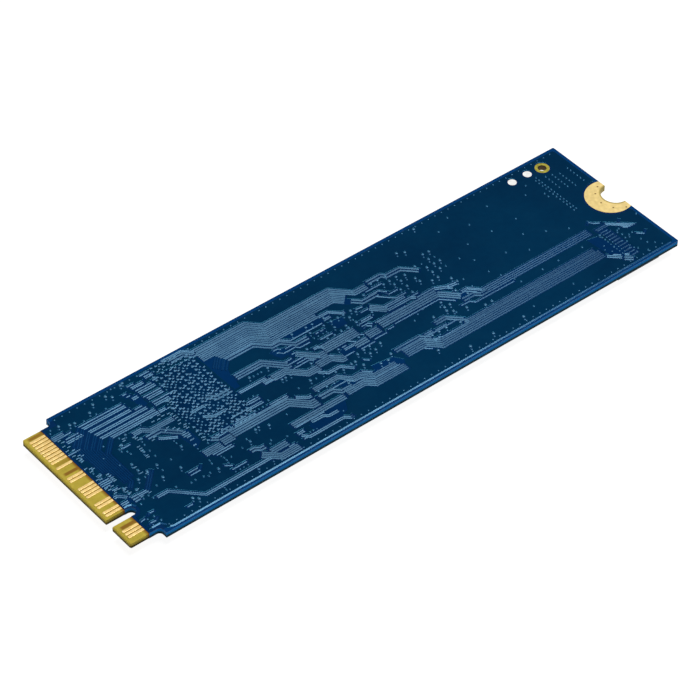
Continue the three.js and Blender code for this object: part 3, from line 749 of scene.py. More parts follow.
def via_spots():
    """The vias that go right through the board outside the controller's field: place and radius."""
    spots = []
    for x, y in LINKED_VIAS:
        spots.append((x, y, VIA_RADIUS))
        spots.append((x + VIA_STEP[0], y + VIA_STEP[1], SMALL_VIA_RADIUS))
    spots += [(x, y, SMALL_VIA_RADIUS) for x, y in SINGLE_VIAS]
    for count, (x, y), (step_x, step_y) in VIA_ROWS:
        spots += [(x + step_x * i, y + step_y * i, ROW_VIA_RADIUS) for i in range(count)]
    return spots


def stitching_spots():
    spots = []
    for x, y in STITCH_ROWS:
        while x < BOARD_LENGTH - STITCH_END:
            spots.append((x, y))
            x += STITCH_PITCH
    return spots


def moved(line, x, y):
    return tuple((x + step_x, y + step_y) for step_x, step_y in line)


def field_parts(rng):
    """The via field under the controller: its vias, and the dashes that leave some of them."""
    vias = []
    dashes = []
    for i in range(FIELD_COLUMNS):
        for j in range(FIELD_ROWS):
            x = FIELD_START[0] + FIELD_PITCH * i + rng.uniform(-FIELD_SCATTER, FIELD_SCATTER)
            y = FIELD_START[1] - FIELD_PITCH * j + rng.uniform(-FIELD_SCATTER, FIELD_SCATTER)
            among_lanes = x < LANES_END[0] and y > LANES_END[1]
            if rng.random() < LEFT_OUT_SHARE or among_lanes:
                continue
            vias.append((x, y))
            busy = x > BUSY_CORNER[0] and y < BUSY_CORNER[1]
            if rng.random() < (FINE_NEAR_DASH_SHARE if i < FINE_COLUMNS else NEAR_DASH_SHARE):
                dashes.append(moved(NEAR_DASH, x, y))
            if rng.random() < (BUSY_FAR_DASH_SHARE if busy else FAR_DASH_SHARE):
                dashes.append(moved(FAR_DASH, x, y))
            elif rng.random() < HALFWAY_VIA_SHARE:
                vias.append((x + FIELD_PITCH / 2, y - FIELD_PITCH / 2))
    return vias, dashes


# ---------- the copper pour ----------

TONGUE_LENGTH = 4.0
TONGUE_HALF = 9.925
SHOULDER_ROUND = 0.25
END_ROUND = 0.3
# Where the land's clearance meets the pour's screw end, in degrees about the land's middle
LAND_ARC = (278, 82)
# What the triangulation is asked for: faces inside the outlines only, and points merged this near
INSIDE_ONLY = 1
MERGE_DISTANCE = 1e-4

LAND_X = 79.05
LAND_RADIUS = 3.0
NOTCH_RADIUS = 1.75
SLOT_Y = -6.125
SLOT_HALF = 0.6
SLOT_DEPTH = 3.5

# Round clearances about the land, the two test pads and the tooling hole
KEPT_CLEAR = (
    (LAND_X, 0, LAND_RADIUS + 0.3),
    (71.65, 9.2, 0.8),
    (74.1, 9.2, 0.8),
    (76.3, 8.95, 1.15),
)


def polygon_area(points):
    total = 0
    for (x0, y0), (x1, y1) in zip(points, points[1:] + points[:1]):
        total += x0 * y1 - x1 * y0
    return total / 2


def anticlockwise(points):
    points = [tuple(p) for p in points]
    return points if polygon_area(points) > 0 else points[::-1]


def strip(path, half, ends):
    """The outline of a band along a path, with its ends drawn out."""
    start = Vector(path[0]) - (Vector(path[1]) - Vector(path[0])).normalized() * ends
    finish = Vector(path[-1]) + (Vector(path[-1]) - Vector(path[-2])).normalized() * ends
    path = [tuple(start)] + list(path[1:-1]) + [tuple(finish)]
    return anticlockwise(beside(path, -half) + beside(path, half)[::-1])


def pour_outline():
    """The board's outline, pulled back, with the screw land left out."""
    left = MASK_START + MASK_EDGE_GAP
    shoulder = TONGUE_LENGTH + EDGE_PULL_BACK
    shoulder_x = shoulder + SHOULDER_ROUND
    shoulder_y = BOARD_HALF - EDGE_PULL_BACK - SHOULDER_ROUND
    end_x = BOARD_LENGTH - EDGE_PULL_BACK - END_ROUND
    end_y = BOARD_HALF - EDGE_PULL_BACK - END_ROUND
    tongue_y = TONGUE_HALF - EDGE_PULL_BACK
    outline = [(left, -tongue_y), (shoulder, -tongue_y)]
    outline += arc_points(shoulder_x, -shoulder_y, SHOULDER_ROUND, 180, 270)
    outline += arc_points(end_x, -end_y, END_ROUND, 270, 360)
    outline += arc_points(LAND_X, 0, LAND_RADIUS + LAND_GAP, *LAND_ARC, steps=24)
    outline += arc_points(end_x, end_y, END_ROUND, 0, 90)
    outline += arc_points(shoulder_x, shoulder_y, SHOULDER_ROUND, 90, 180)
    outline += [(shoulder, tongue_y), (left, tongue_y)]
    # One point more on the end edge, where the key slot's clearance crosses it
    outline += [(left, SLOT_Y + SLOT_HALF + EDGE_PULL_BACK)]
    return anticlockwise(outline)


def bundle_clearances(bundles, gap):
    """Bands that reach this far past the middle of each bundle's outer traces."""
    return [strip(centre, (count - 1) * pitch / 2 + gap, gap) for count, pitch, centre in bundles]


def via_clearances(vias):
    return [circle_points(x, y, radius + VIA_CLEARANCE, 10, phase=0.1) for x, y, radius in vias]


def fixed_clearances():
    """The round clearances, and a band with a round end about the key slot."""
    half = SLOT_HALF + EDGE_PULL_BACK
    outlines = [circle_points(x, y, radius, 32) for x, y, radius in KEPT_CLEAR]
    outlines.append(strip(((0, SLOT_Y), (SLOT_DEPTH, SLOT_Y)), half, 0.0))
    outlines.append(circle_points(SLOT_DEPTH - SLOT_HALF, SLOT_Y, half, 32))
    return outlines


def cut_pour(outline, holes):
    """The points and triangles of the pour: inside the outline and outside every hole."""
    points = []
    faces = []
    for polygon in [outline] + holes:
        faces.append(list(range(len(points), len(points) + len(polygon))))
        points += [Vector(p) for p in polygon]
    cut = delaunay_2d_cdt(points, [], faces, INSIDE_ONLY, MERGE_DISTANCE)
    verts, _, triangles, _, _, sources = cut
    kept = [t for t, source in zip(triangles, sources) if 0 in source and len(source) == 1]
    used = sorted({v for triangle in kept for v in triangle})
    place = {v: i for i, v in enumerate(used)}
    return [tuple(verts[v]) for v in used], [tuple(place[v] for v in t) for t in kept]


def rim_edges(triangles):
    edges = {}
    for a, b, c in triangles:
        for edge in ((a, b), (b, c), (c, a)):
            edges[edge] = True
    return [edge for edge in edges if (edge[1], edge[0]) not in edges]


def rim_steps(verts, rim):
    """The outward step at each point of the rim that moves both its edges out by one unit.

    Where rims touch or turn back on themselves, the point stays where it is.
    """
    least_total = 0.6
    normals = {}
    for a, b in rim:
        outward = -left_normal(verts[a], verts[b])
        normals.setdefault(a, []).append(outward)
        normals.setdefault(b, []).append(outward)
    steps = {}
    for v, pair in normals.items():
        total = sum(pair, Vector((0, 0)))
        if len(pair) != 2 or total.length < least_total:
            steps[v] = Vector((0, 0))
        else:
            steps[v] = total * (2 / total.length_squared)
    return steps


def pour_shape(holes):
    """A thin plate with a rounded rim, closed underneath."""
    verts, triangles = cut_pour(pour_outline(), holes)
    rim = rim_edges(triangles)
    steps = rim_steps(verts, rim)
    shape = Shape()
    low = BARE - SUNK
    shape.add([(x, y, POUR_TOP) for x, y in verts], triangles, smooth=False)
    shape.add([(x, y, low) for x, y in verts], [t[::-1] for t in triangles], smooth=False)
    levels = [(out, BARE + up * POUR_RISE) for out, up in POUR_SECTION] + [(1, low)]
    for edge in rim:
        points = []
        for out, z in levels:
            for v in edge:
                spot = Vector(verts[v]) + steps[v] * (out * POUR_SLOPE)
                points.append((spot.x, spot.y, z))
        faces = [(r + 1, r, r + 2, r + 3) for r in range(0, 2 * len(levels) - 2, 2)]
        shape.add(points, faces)
    return shape


# ---------- bare side: pieces ----------

# The rounded lip of the pour along the board's near edge and shoulder
POUR_LIP = (
    ((4.9, -10.5), (5.3, -10.62), (66.0, -10.62), (79.0, -10.6)),
    ((3.2, -9.45), (4.35, -9.45), (4.75, -10.1)),
    ((2.6, -5.25), (3.1, -5.2), (3.55, -5.4), (3.85, -5.85)),
)

WINDOW_RISE = 0.003

EVEN_RUNS = ((2, 18), (22, 22), (30, 32), (38, 44), (50, 52), (56, 58), (70, 74))
ODD_RUNS = ((1, 57), (67, 75))
FIRST_CONTACT = {"even": 9.0, "odd": 9.25}
CONTACT_PITCH = 0.5
CONTACT_WIDTH = 0.36
CONTACT_TIP = 0.35
CONTACT_END = 2.45
CONTACT_RISE = 0.05
# The eased edges of a contact: inset, and share of its rise
CONTACT_LEVELS = ((0, -0.2), (0, 0.55), (0.02, 0.9), (0.045, 1))


def contact_y(position):
    row = "odd" if position % 2 else "even"
    return FIRST_CONTACT[row] - (position - 1) // 2 * CONTACT_PITCH


def add_contact(shape, y, base, up):
    """One plated finger with a rounded tip; up is 1 on the bare side and -1 on the other."""
    rings = []
    for inset, share in CONTACT_LEVELS:
        half = CONTACT_WIDTH / 2 - inset
        end = CONTACT_END - inset
        outline = [(end, y - half), (end, y + half)]
        outline += arc_points(CONTACT_TIP + CONTACT_WIDTH / 2, y, half, 90, 270, steps=8)
        ring = at_height(outline, base + share * CONTACT_RISE * up)
        rings.append(ring if up > 0 else ring[::-1])
    shape.loft(rings)


def contact_pieces(runs, base, up, material):
    for first, last in runs:
        node = f"contact_{first}" if first == last else f"contacts_{first}_to_{last}"
        shape = Shape()
        for position in range(first, last + 1, 2):
            add_contact(shape, contact_y(position), base, up)
        shape.piece(f"gold_{node}", [material], "gold_plating", [node])


def trace_piece(dashes, looks):
    shape = Shape()
    for line, width, packed in bundle_lines():
        add_trace(shape, line, width, TRACE_RISE * width / TRACE_WIDTH, int(not packed))
    for line in dashes + [moved(((0, 0), (STUB_LENGTH, 0)), x, y) for x, y in STUBS]:
        add_trace(shape, line, STUB_WIDTH, STUB_RISE, 1)
    for x, y in LINKED_VIAS:
        add_trace(shape, moved(((0, 0), VIA_STEP), x, y), LINK_WIDTH, LINK_RISE)
    shape.piece("bare_side_traces", [looks["trace"], looks["fine_trace"]], "solder_mask")


def lip_piece(looks):
    shape = Shape()
    for line in POUR_LIP:
        add_trace(shape, line, LIP_WIDTH, LIP_RISE)
    shape.piece("bare_side_pour_lip", [looks["lip"]], "solder_mask")


def via_piece(spots, field_vias, looks):
    shape = Shape()
    for x, y, radius in spots:
        add_via(shape, x, y, radius, material=int(radius < VIA_RADIUS))
    for x, y in field_vias:
        add_via(shape, x, y, FIELD_VIA_RADIUS, rise=FIELD_VIA_RISE, count=8, material=1)
    for x, y in stitching_spots():
        add_via(shape, x, y, STITCH_RADIUS, POUR_TOP, STITCH_RISE, count=8, material=1)
    shape.piece("bare_side_vias", [looks["via"], looks["small_via"]], "solder_mask")


def window_piece(looks):
    shape = Shape()
    for area in BARE_AREAS + (FIELD_AREA,):
        outline = anticlockwise(area)
        rings = (at_height(outline, BARE - SUNK), at_height(outline, BARE + WINDOW_RISE))
        shape.loft(rings, int(area is FIELD_AREA), smooth=False)
    materials = [looks["window"], looks["field"]]
    shape.piece("bare_side_laminate_windows", materials, "solder_mask")


def bare_side(looks):
    field_vias, dashes = field_parts(random.Random(FIELD_SEED))
    spots = via_spots()
    trace_piece(dashes, looks)
    lip_piece(looks)
    via_piece(spots, field_vias, looks)
    window_piece(looks)
    holes = [anticlockwise(area) for area in BARE_AREAS + (FIELD_AREA,)]
    holes += bundle_clearances(BUNDLES, BUNDLE_CLEARANCE)
    holes += via_clearances(spots) + fixed_clearances()
    pour_shape(holes).piece("bare_side_copper_pour", [looks["pour"]], "solder_mask")
    contact_pieces(EVEN_RUNS, LAMINATE_TOP, 1, looks["gold"])
    contact_pieces(ODD_RUNS, LAMINATE_BOTTOM, -1, looks["gold"])


# ---------- board materials ----------

LAND_HOLES = ((79.2, 2.2), (78.1, 1.4), (77.5, -0.25), (78.05, -1.8), (79.35, -2.7))
# The levels where a plated hole's wall starts and is fully shaded
WALL_START = 1.4
WALL_FULL = 1.45
# Painted shade: a darker olive band round the screw notch's rim
NOTCH_RIM_SHADE = (150, 132, 50)
# Painted shade: the dark brown in tiny holes' mouths
HOLE_MOUTH_SHADE = (104, 70, 28)


def distance_from(n, x, y):
    """How far each point lies from a place on the board, in millimetres."""
    away_x = n.subtract(n.board_x(), x)
    away_y = n.subtract(n.axis("Y"), y)
    return n.math("SQRT", n.math("ADD", n.math("POWER", away_x, 2), n.math("POWER", away_y, 2)))


def gold_material(name, deep, light, wall=None, holes=()):
    """Soft, slightly uneven plated gold, with painted shade on a hole's wall, the notch's rim and
    tiny holes' mouths.
    """
    n = Nodes(name)
    colour = n.mix(n.mottle(2.2, 4), srgb(*deep), srgb(*light))
    # Painted shade: the plated wall between the board's faces is darker
    if wall:
        z = n.axis("Z")
        above = n.ramp(z, WALL_START, WALL_FULL)
        below = n.ramp(z, LAMINATE_TOP - 0.02, BARE - 0.01, 1.0, 0.0)
        colour = n.mix(n.math("MINIMUM", above, below), colour, srgb(*wall))
    if holes:
        away = distance_from(n, BOARD_LENGTH, 0)
        # Painted shade round the screw notch's rim
        rim = n.ramp(away, NOTCH_RADIUS + 0.02, NOTCH_RADIUS + 0.3, 0.85, 0.0)
        colour = n.mix(rim, colour, srgb(*NOTCH_RIM_SHADE))
    # Painted shade in each tiny hole's mouth
    for x, y in holes:
        mouth = n.ramp(distance_from(n, x, y), 0.08, 0.15, 0.85, 0.0)
        colour = n.mix(mouth, colour, srgb(*HOLE_MOUTH_SHADE))
    n.bump(n.noise(6.0, 2), 0.15, 0.01)
    return n.look(colour=colour, roughness=n.mottle(2.0, 3, 0.42, 0.54), metallic=0.5)


def tin_material():
    n = Nodes("tin_plating")
    colour = n.mix(n.mottle(1.5, 3), srgb(226, 226, 222), srgb(246, 246, 242))
    n.bump(n.noise(5.0, 3), 0.25, 0.015)
    return n.look(colour=colour, roughness=n.mottle(2.0, 3, 0.38, 0.55), metallic=0.3)


# Shadows of copper under the tongue's surface: middle and half width across, and how dark
TONGUE_SHADOWS = (
    (9.5, 0.2, 0.7),
    (7.0, 2.15, 0.5),
    (4.5, 0.2, 0.4),
    (4.0, 0.2, 0.4),
    (2.75, 0.2, 0.8),
    (1.75, 0.4, 0.5),
    (-0.75, 0.9, 0.5),
    (-3.25, 0.4, 0.5),
    (-4.75, 0.4, 0.5),
    (-7.5, 0.22, 0.8),
    (-8.5, 0.65, 0.5),
)

# The pitches of the glass weave along and across the board
WARP_PITCH = 0.42
WEFT_PITCH = 0.5


def tongue_shadow(n, x, y):
    """Soft brown bars, and a brown band along the edge of the mask."""
    bars = 0.0
    for middle, half, depth in TONGUE_SHADOWS:
        away = n.math("ABSOLUTE", n.subtract(y, middle))
        bars = n.math("MAXIMUM", bars, n.ramp(away, half - 0.06, half + 0.1, depth, 0.0))
    along = n.ramp(x, 0.35, 0.75)
    band = n.ramp(x, 2.0, 2.5, 0.0, 0.9)
    return n.math("MAXIMUM", n.math("MULTIPLY", bars, along), band)


def tongue_colour(n, x, y, z):
    """Olive glass epoxy with a faint weave, and painted shade that darkens its end face and sides
    towards the bottom.
    """
    warp = n.math("SINE", n.math("MULTIPLY", x, 2 * math.pi / WARP_PITCH))
    weft = n.math("SINE", n.math("MULTIPLY", y, 2 * math.pi / WEFT_PITCH))
    weave = n.math("MULTIPLY", n.math("ADD", warp, weft), 0.25)
    olive = n.mix(n.mottle(0.7, 4), srgb(148, 132, 48), srgb(172, 156, 62))
    olive = n.mix(n.math("ADD", 0.5, weave, clamp=True), olive, srgb(163, 144, 54))
    olive = n.mix(tongue_shadow(n, x, y), olive, srgb(112, 66, 24))
    # Painted shade: dark brown towards the bottom of the tongue's faces
    shade_towards_bottom = n.ramp(z, LAMINATE_BOTTOM + 0.1, LAMINATE_TOP - 0.12, 1.0, 0.0)
    return n.mix(shade_towards_bottom, olive, srgb(38, 28, 4))


def laminate_material():
    """Olive on the bare tongue; past it, mask ink has run down the card's sides, with painted shade
    that darkens them towards the bottom.
    """
    n = Nodes("laminate_fr4")
    x, y, z = n.board_x(), n.axis("Y"), n.axis("Z")
    up = n.ramp(z, LAMINATE_BOTTOM, LAMINATE_TOP)
    # Painted shade: the sides' blue darkens to near black towards the bottom face
    side = n.mix(n.ramp(up, 0.0, 0.3), srgb(0, 14, 16), srgb(0, 62, 84))
    side = n.mix(n.ramp(up, 0.3, 0.75), side, srgb(0, 100, 166))
    past_tongue = n.ramp(x, MASK_START, MASK_START + 0.06)
    colour = n.mix(past_tongue, tongue_colour(n, x, y, z), side)
    n.bump(n.noise(4.0, 3), 0.2, 0.02)
    return n.look(colour=colour, roughness=n.mottle(1.0, 3, 0.5, 0.65), specular=0.03)


# The solder mask over different things: name, deep and light colour, roughness, specular level
RAISED_MASKS = {
    "trace": ("mask_over_trace", (0, 38, 76), (2, 46, 86), 0.28, 0.36),
    # The vias' paler blues are painted highlight that widens the lit part of each dome.
    "via": ("mask_over_via", (44, 86, 118), (70, 110, 138), 0.35, 0.75),
    "small_via": ("mask_over_small_via", (30, 76, 110), (50, 96, 130), 0.35, 0.85),
    "fine_trace": ("mask_over_fine_trace", (0, 40, 80), (2, 50, 92), 0.26, 0.48),
    "lip": ("mask_over_pour_lip", (0, 48, 88), (2, 60, 104), 0.2, 0.62),
}
FLAT_MASKS = {
    "window": ("mask_over_laminate_window", (0, 32, 70), (0, 40, 84)),
    "field": ("mask_over_via_field", (0, 27, 58), (0, 36, 72)),
    "pour": ("mask_over_copper_pour", (0, 33, 61), (0, 40, 69)),
}
# Gold of the screw land and of the tooling hole's ring: deep, light, and the painted shade on the
# wall
LAND_GOLD = ((234, 207, 136), (239, 213, 143), (112, 92, 38))
RING_GOLD = ((150, 142, 48), (186, 176, 70), (78, 58, 26))


def board_looks():
    base = solder_mask_material("mask_over_laminate", (0, 30, 68), (0, 38, 80), rim=(0, 48, 96))
    looks = {
        "laminate": laminate_material(),
        "base": base,
        "gold": gold_material("contact_gold", (232, 196, 122), (243, 213, 143)),
        "land": gold_material("land_gold", *LAND_GOLD, LAND_HOLES),
        "ring": gold_material("ring_gold", *RING_GOLD),
        "tin": tin_material(),
    }
    for key, values in RAISED_MASKS.items():
        looks[key] = solder_mask_material(*values)
    for key, values in FLAT_MASKS.items():
        looks[key] = solder_mask_material(*values, tint=FLAT_SHEEN_TINT)
    return looks


def give(node, look):
    mesh = bpy.data.objects[node].data
    mesh.materials.clear()
    mesh.materials.append(look)


# ---------- component side ----------

# Moulded packages and chips: the taper of caps, the corners, and the dimples that mark pin 1.
# A dimple's floor has the POLISHED material, smoother than the mould and a lighter grey that is
# painted sheen. A chip's dimple lies CHIP_DIMPLE_INSET times its own radius from the edges.
CAP_TAPER = 0.04
CAP_ROUND = 0.15
CHIP_ROUND = 0.08
POLISHED = 1
DIMPLE_DEPTH = 0.1
CAP_DIMPLE_RADIUS = 0.45
CAP_DIMPLE_INSET = 1.2
CHIP_DIMPLE_INSET = 2.6
SUBSTRATE_THICKNESS = 0.2
SUBSTRATE_ROUND = 0.1

# Balls: their radius, their profile as share of it and of their height, and each package's grid
BALL_RADIUS = 0.22
BALL_SECTION = ((0.62, 1.0), (0.92, 0.75), (1.0, 0.5), (0.92, 0.25), (0.62, 0.0))
BALL_GRIDS = {
    "controller": (14, 14, 0.8),
    "flash_1": (11, 16, 1.0),
    "flash_2": (11, 16, 1.0),
    "bus_buffer": (7, 8, 0.8),
}

# A leadless chip's leads: length, height, and width as a share of their pitch
LEAD_LENGTH = 0.32
LEAD_HEIGHT = 0.19
LEAD_SHARE = 0.5

# A chip part's tinned end as a share of its length, how far its solder reaches past it and past
# both its sides together, and how much narrower a resistor's glaze is
TERMINATION_SHARE = 0.22
FILLET = 0.16
FILLET_SPREAD = 0.08
GLAZE_SHORTFALL = 0.04

# An inductor's corners and the round mark on it, then its straps and their solder: length,
# share of its width, and how far their middles lie inside and outside its ends
INDUCTOR_ROUND = 0.35
MARK_SHARE = 0.27
MARK_DEPTH = 0.03
STRAP_LENGTH = 0.3
STRAP_SHARE = 0.7
STRAP_INSIDE = 0.12
STRAP_SOLDER_LENGTH = 0.36
STRAP_SOLDER_SHARE = 0.74
STRAP_SOLDER_OUTSIDE = 0.08

# The crystal oscillator's corners, and its feet of solder: size, and how far inside its corners
CRYSTAL_ROUND = 0.12
LID_ROUND = 0.25
FOOT_LENGTH = 0.7
FOOT_WIDTH = 0.6
FOOT_INSIDE_X = 0.2
FOOT_INSIDE_Y = 0.15

LABEL_ROUND = 0.8

# Silkscreen ink: its width and rise, its gap from a part, and the length of a corner's arms
INK_WIDTH = 0.13
INK_RISE = 0.008
INK_GAP = 0.3
INK_ARM = 0.7
INK_DOT_RADIUS = 0.14
INK_DOT_OUT = 0.25
INK_DOT_DOWN = 0.35

# This side's copper, and how far vias and the pour keep from the parts
COMPONENT_TRACE_WIDTH = 0.2
COMPONENT_TRACE_RISE = 0.05
COMPONENT_VIA_RISE = 0.05
COMPONENT_CLEARANCE = 0.26
VIA_MARGIN = 0.3
OPENING_LENGTHENED = 0.5
OPENING_WIDENED = 0.3


def board_box(node):
    """A CAD node's middle, length, width, and its low and high levels, all in board millimetres."""
    low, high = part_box(node)
    x = (low.x + high.x) / 2 / MM + BOARD_LENGTH / 2
    y = (low.y + high.y) / 2 / MM
    return x, y, (high.x - low.x) / MM, (high.y - low.y) / MM, low.z / MM, high.z / MM


def hanging(x, y, length, width, levels, radius):
    """Rings of a block under the board: its levels, an inset and a height each, run downwards."""
    rings = []
    for inset, z in levels:
        corner = max(radius - inset, 0.01)
        ring = rounded_rectangle(x, y, length - 2 * inset, width - 2 * inset, corner)
        rings.append(at_height(ring, z)[::-1])
    return rings


def add_block(shape, x, y, length, width, levels, radius=0.05, material=0):
    shape.loft(hanging(x, y, length, width, levels, radius), material, smooth=False)


def add_dimpled_block(shape, x, y, length, width, levels, radius, dimple, depth=DIMPLE_DEPTH):
    """A block with a round dimple in its lower face: dimple is its place and radius."""
    rings = hanging(x, y, length, width, levels, radius)
    bottom = levels[-1][1]
    dimple_x, dimple_y, dimple_radius = dimple
    count = len(rings[0])
    phase = math.radians(360 / count / 2)
    circles = []
    for share, z in ((1, bottom), (0.9, bottom + 0.6 * depth), (0.75, bottom + depth)):
        circle = circle_points(dimple_x, dimple_y, dimple_radius * share, count, z, phase)
        circles.append(circle[::-1])
    shape.tube(rings + circles[:1], 0)
    shape.tube(circles, POLISHED)
    shape.add(circles[-1], [tuple(range(count))], POLISHED, smooth=False)
    shape.add(rings[0], [tuple(range(count))[::-1]], 0, smooth=False)


def add_ball(shape, x, y, low, high):
    rings = []
    for out, up in BALL_SECTION:
        rings.append(circle_points(x, y, BALL_RADIUS * out, 10, low + (high - low) * up)[::-1])
    shape.loft(rings)


def ball_spots(x, y, columns, rows, pitch):
    """The outer two rings of a package's grid of balls: the rest is out of sight."""
    spots = []
    for i in range(columns):
        for j in range(rows):
            if min(i, j, columns - 1 - i, rows - 1 - j) < 2:
                ball_x = x + (i - (columns - 1) / 2) * pitch
                ball_y = y + (j - (rows - 1) / 2) * pitch
                spots.append((ball_x, ball_y))
    return spots


def package_cap(name, looks):
    x, y, length, width, low, high = board_box(f"{name}_cap")
    shape = Shape()
    levels = (
        (0, high),
        (CAP_TAPER, low + 0.06),
        (CAP_TAPER + 0.02, low + 0.02),
        (CAP_TAPER + 0.05, low),
    )
    dimple_x = x - length / 2 + CAP_DIMPLE_INSET
    dimple_y = y + width / 2 - CAP_DIMPLE_INSET
    dimple = (dimple_x, dimple_y, CAP_DIMPLE_RADIUS)
    add_dimpled_block(shape, x, y, length, width, levels, CAP_ROUND, dimple)
    materials = [looks["mould"], looks["polished_sheen"]]
    shape.piece(f"moulded_{name}_cap", materials, "mould_compound", [f"{name}_cap"])


def package_substrate(name, looks):
    """The package's own green card above its cap, and the balls between it and the board."""
    x, y, length, width, _, low = board_box(f"{name}_cap")
    high = low + SUBSTRATE_THICKNESS
    shape = Shape()
    levels = ((0.03, high), (0, high - 0.02), (0, low + 0.005), (0.03, low))
    add_block(shape, x, y, length, width, levels, SUBSTRATE_ROUND)
    balls = Shape()
    for ball_x, ball_y in ball_spots(x, y, *BALL_GRIDS[name]):
        add_ball(balls, ball_x, ball_y, high - 0.01, UNDERSIDE + 0.01)
    shape.add(balls.points, balls.faces, 1)
    materials = [looks["substrate"], looks["solder"]]
    shape.piece(f"green_{name}_substrate", materials, "package_substrate", [f"{name}_substrate"])


def add_leads(shape, x, y, length, width, count_x, count_y, pitch):
    """Bright lead ends and their solder, in a row along each side of a leadless chip."""
    levels = (
        (0.03, UNDERSIDE + SUNK),
        (0, UNDERSIDE - SUNK),
        (0.02, UNDERSIDE - LEAD_HEIGHT),
    )
    lead = LEAD_SHARE * pitch
    for side in (-1, 1):
        for i in range(count_x):
            lead_x = x + (i - (count_x - 1) / 2) * pitch
            add_block(shape, lead_x, y + side * width / 2, lead, LEAD_LENGTH, levels, 0.04)
        for i in range(count_y):
            lead_y = y + (i - (count_y - 1) / 2) * pitch
            add_block(shape, x + side * length / 2, lead_y, LEAD_LENGTH, lead, levels, 0.04)


def leadless_chip(node, counts, pitch, dimple_radius, looks):
    x, y, length, width, low, high = board_box(node)
    shape = Shape()
    levels = ((0, high), (0, low + 0.05), (0.03, low + 0.015), (0.06, low))
    inset = CHIP_DIMPLE_INSET * dimple_radius
    dimple = (x - length / 2 + inset, y + width / 2 - inset, dimple_radius)
    add_dimpled_block(shape, x, y, length, width, levels, CHIP_ROUND, dimple)
    leads = Shape()
    add_leads(leads, x, y, length, width, *counts, pitch)
    shape.add(leads.points, leads.faces, 2, smooth=False)
    materials = [looks["mould"], looks["polished_sheen"], looks["solder"]]
    shape.piece(f"moulded_{node}", materials, "mould_compound", [node])


def along(x, y, turned, out):
    """The place this far out along a chip part's long axis, which lies along y in turned parts."""
    return (x, y + out) if turned else (x + out, y)


def sized(turned, length, width):
    return (width, length) if turned else (length, width)


def chip_part(node, piece_name, body_look, slot, looks, glazed=False):
    """A chip capacitor or resistor: its body, two tinned ends and their solder fillets."""
    x, y, size_x, size_y, low, high = board_box(node)
    turned = size_y > size_x
    length, width = max(size_x, size_y), min(size_x, size_y)
    end = length * TERMINATION_SHARE
    body = ((0.015, high - 0.02), (0.015, low + 0.04), (0.045, low + 0.012))
    tin = ((0.02, high), (0, high - 0.02), (0, low + 0.05), (0.02, low + 0.015), (0.05, low))
    rise = 0.55 * (high - low)
    fillet = (
        (0, UNDERSIDE + SUNK),
        (0, UNDERSIDE - SUNK),
        (0.1, high - 0.4 * rise),
        (0.14, high - rise),
    )
    shape = Shape()
    add_block(shape, x, y, *sized(turned, length - end, width), body, 0.04)
    for side in (-1, 1):
        place = along(x, y, turned, side * (length - end) / 2)
        add_block(shape, *place, *sized(turned, end, width), tin, 0.07, 1)
        place = along(x, y, turned, side * (length - end + FILLET) / 2)
        foot = sized(turned, end + FILLET, width + FILLET_SPREAD)
        add_block(shape, *place, *foot, fillet, 0.1, 1)
    materials = [looks[body_look], looks["solder"]]
    if glazed:
        glaze = ((0, low + 0.02), (0, low + 0.008), (0.02, low))
        top = sized(turned, length - 2 * end, width - GLAZE_SHORTFALL)
        add_block(shape, x, y, *top, glaze, 0.03, 2)
        materials.append(looks["glaze"])
    shape.piece(piece_name, materials, slot, [node])


def inductor(node, looks):
    """A pressed block with a shallow round mark, and a strap with solder at each end."""
    x, y, length, width, low, high = board_box(node)
    levels = ((0.1, high), (0.02, high - 0.08), (0, low + 0.14), (0.1, low + 0.04), (0.16, low))
    strap = ((0, high), (0, high - 0.45), (0.03, high - 0.5))
    fillet = ((0, UNDERSIDE + SUNK), (0, UNDERSIDE - 0.03), (0.12, UNDERSIDE - 0.22))
    shape = Shape()
    mark = (x, y, MARK_SHARE * length)
    add_dimpled_block(shape, x, y, length, width, levels, INDUCTOR_ROUND, mark, MARK_DEPTH)
    for side in (-1, 1):
        strap_x = x + side * (length / 2 - STRAP_INSIDE)
        solder_x = x + side * (length / 2 + STRAP_SOLDER_OUTSIDE)
        solder_width = STRAP_SOLDER_SHARE * width
        add_block(shape, strap_x, y, STRAP_LENGTH, STRAP_SHARE * width, strap, material=2)
        add_block(shape, solder_x, y, STRAP_SOLDER_LENGTH, solder_width, fillet, material=2)
    materials = [looks["ferrite"], looks["ferrite_top"], looks["solder"]]
    shape.piece(f"moulded_{node}", materials, "ferrite", [node])


def crystal(node, looks):
    """A ceramic base with a metal lid and a foot of solder at each corner."""
    x, y, length, width, low, high = board_box(node)
    base = ((0, high), (0, low + 0.3), (0.03, low + 0.26))
    lid = (
        (0.07, low + 0.28),
        (0.07, low + 0.16),
        (0.12, low + 0.15),
        (0.16, low + 0.04),
        (0.22, low),
    )
    foot = ((0, UNDERSIDE + 0.01), (0, UNDERSIDE - 0.02), (0.12, UNDERSIDE - 0.12))
    shape = Shape()
    add_block(shape, x, y, length, width, base, CRYSTAL_ROUND)
    add_block(shape, x, y, length, width, lid, LID_ROUND, 1)
    for side_x in (-1, 1):
        for side_y in (-1, 1):
            foot_x = x + side_x * (length / 2 - FOOT_INSIDE_X)
            foot_y = y + side_y * (width / 2 - FOOT_INSIDE_Y)
            add_block(shape, foot_x, foot_y, FOOT_LENGTH, FOOT_WIDTH, foot, material=2)
    materials = [looks["ceramic_base"], looks["can"], looks["solder"]]
    shape.piece("lidded_crystal_oscillator", materials, "crystal_can", [node])


def label(looks):
    """A plain film with rounded corners, slightly lifted along its rim."""
    x, y, length, width, low, high = board_box("label")
    levels = ((0.03, high), (0, high - 0.02), (0, low + 0.02), (0.03, low))
    shape = Shape()
    add_block(shape, x, y, length, width, levels, LABEL_ROUND)
    shape.piece("plain_label_film", [looks["label"]], "label_film", ["label"])


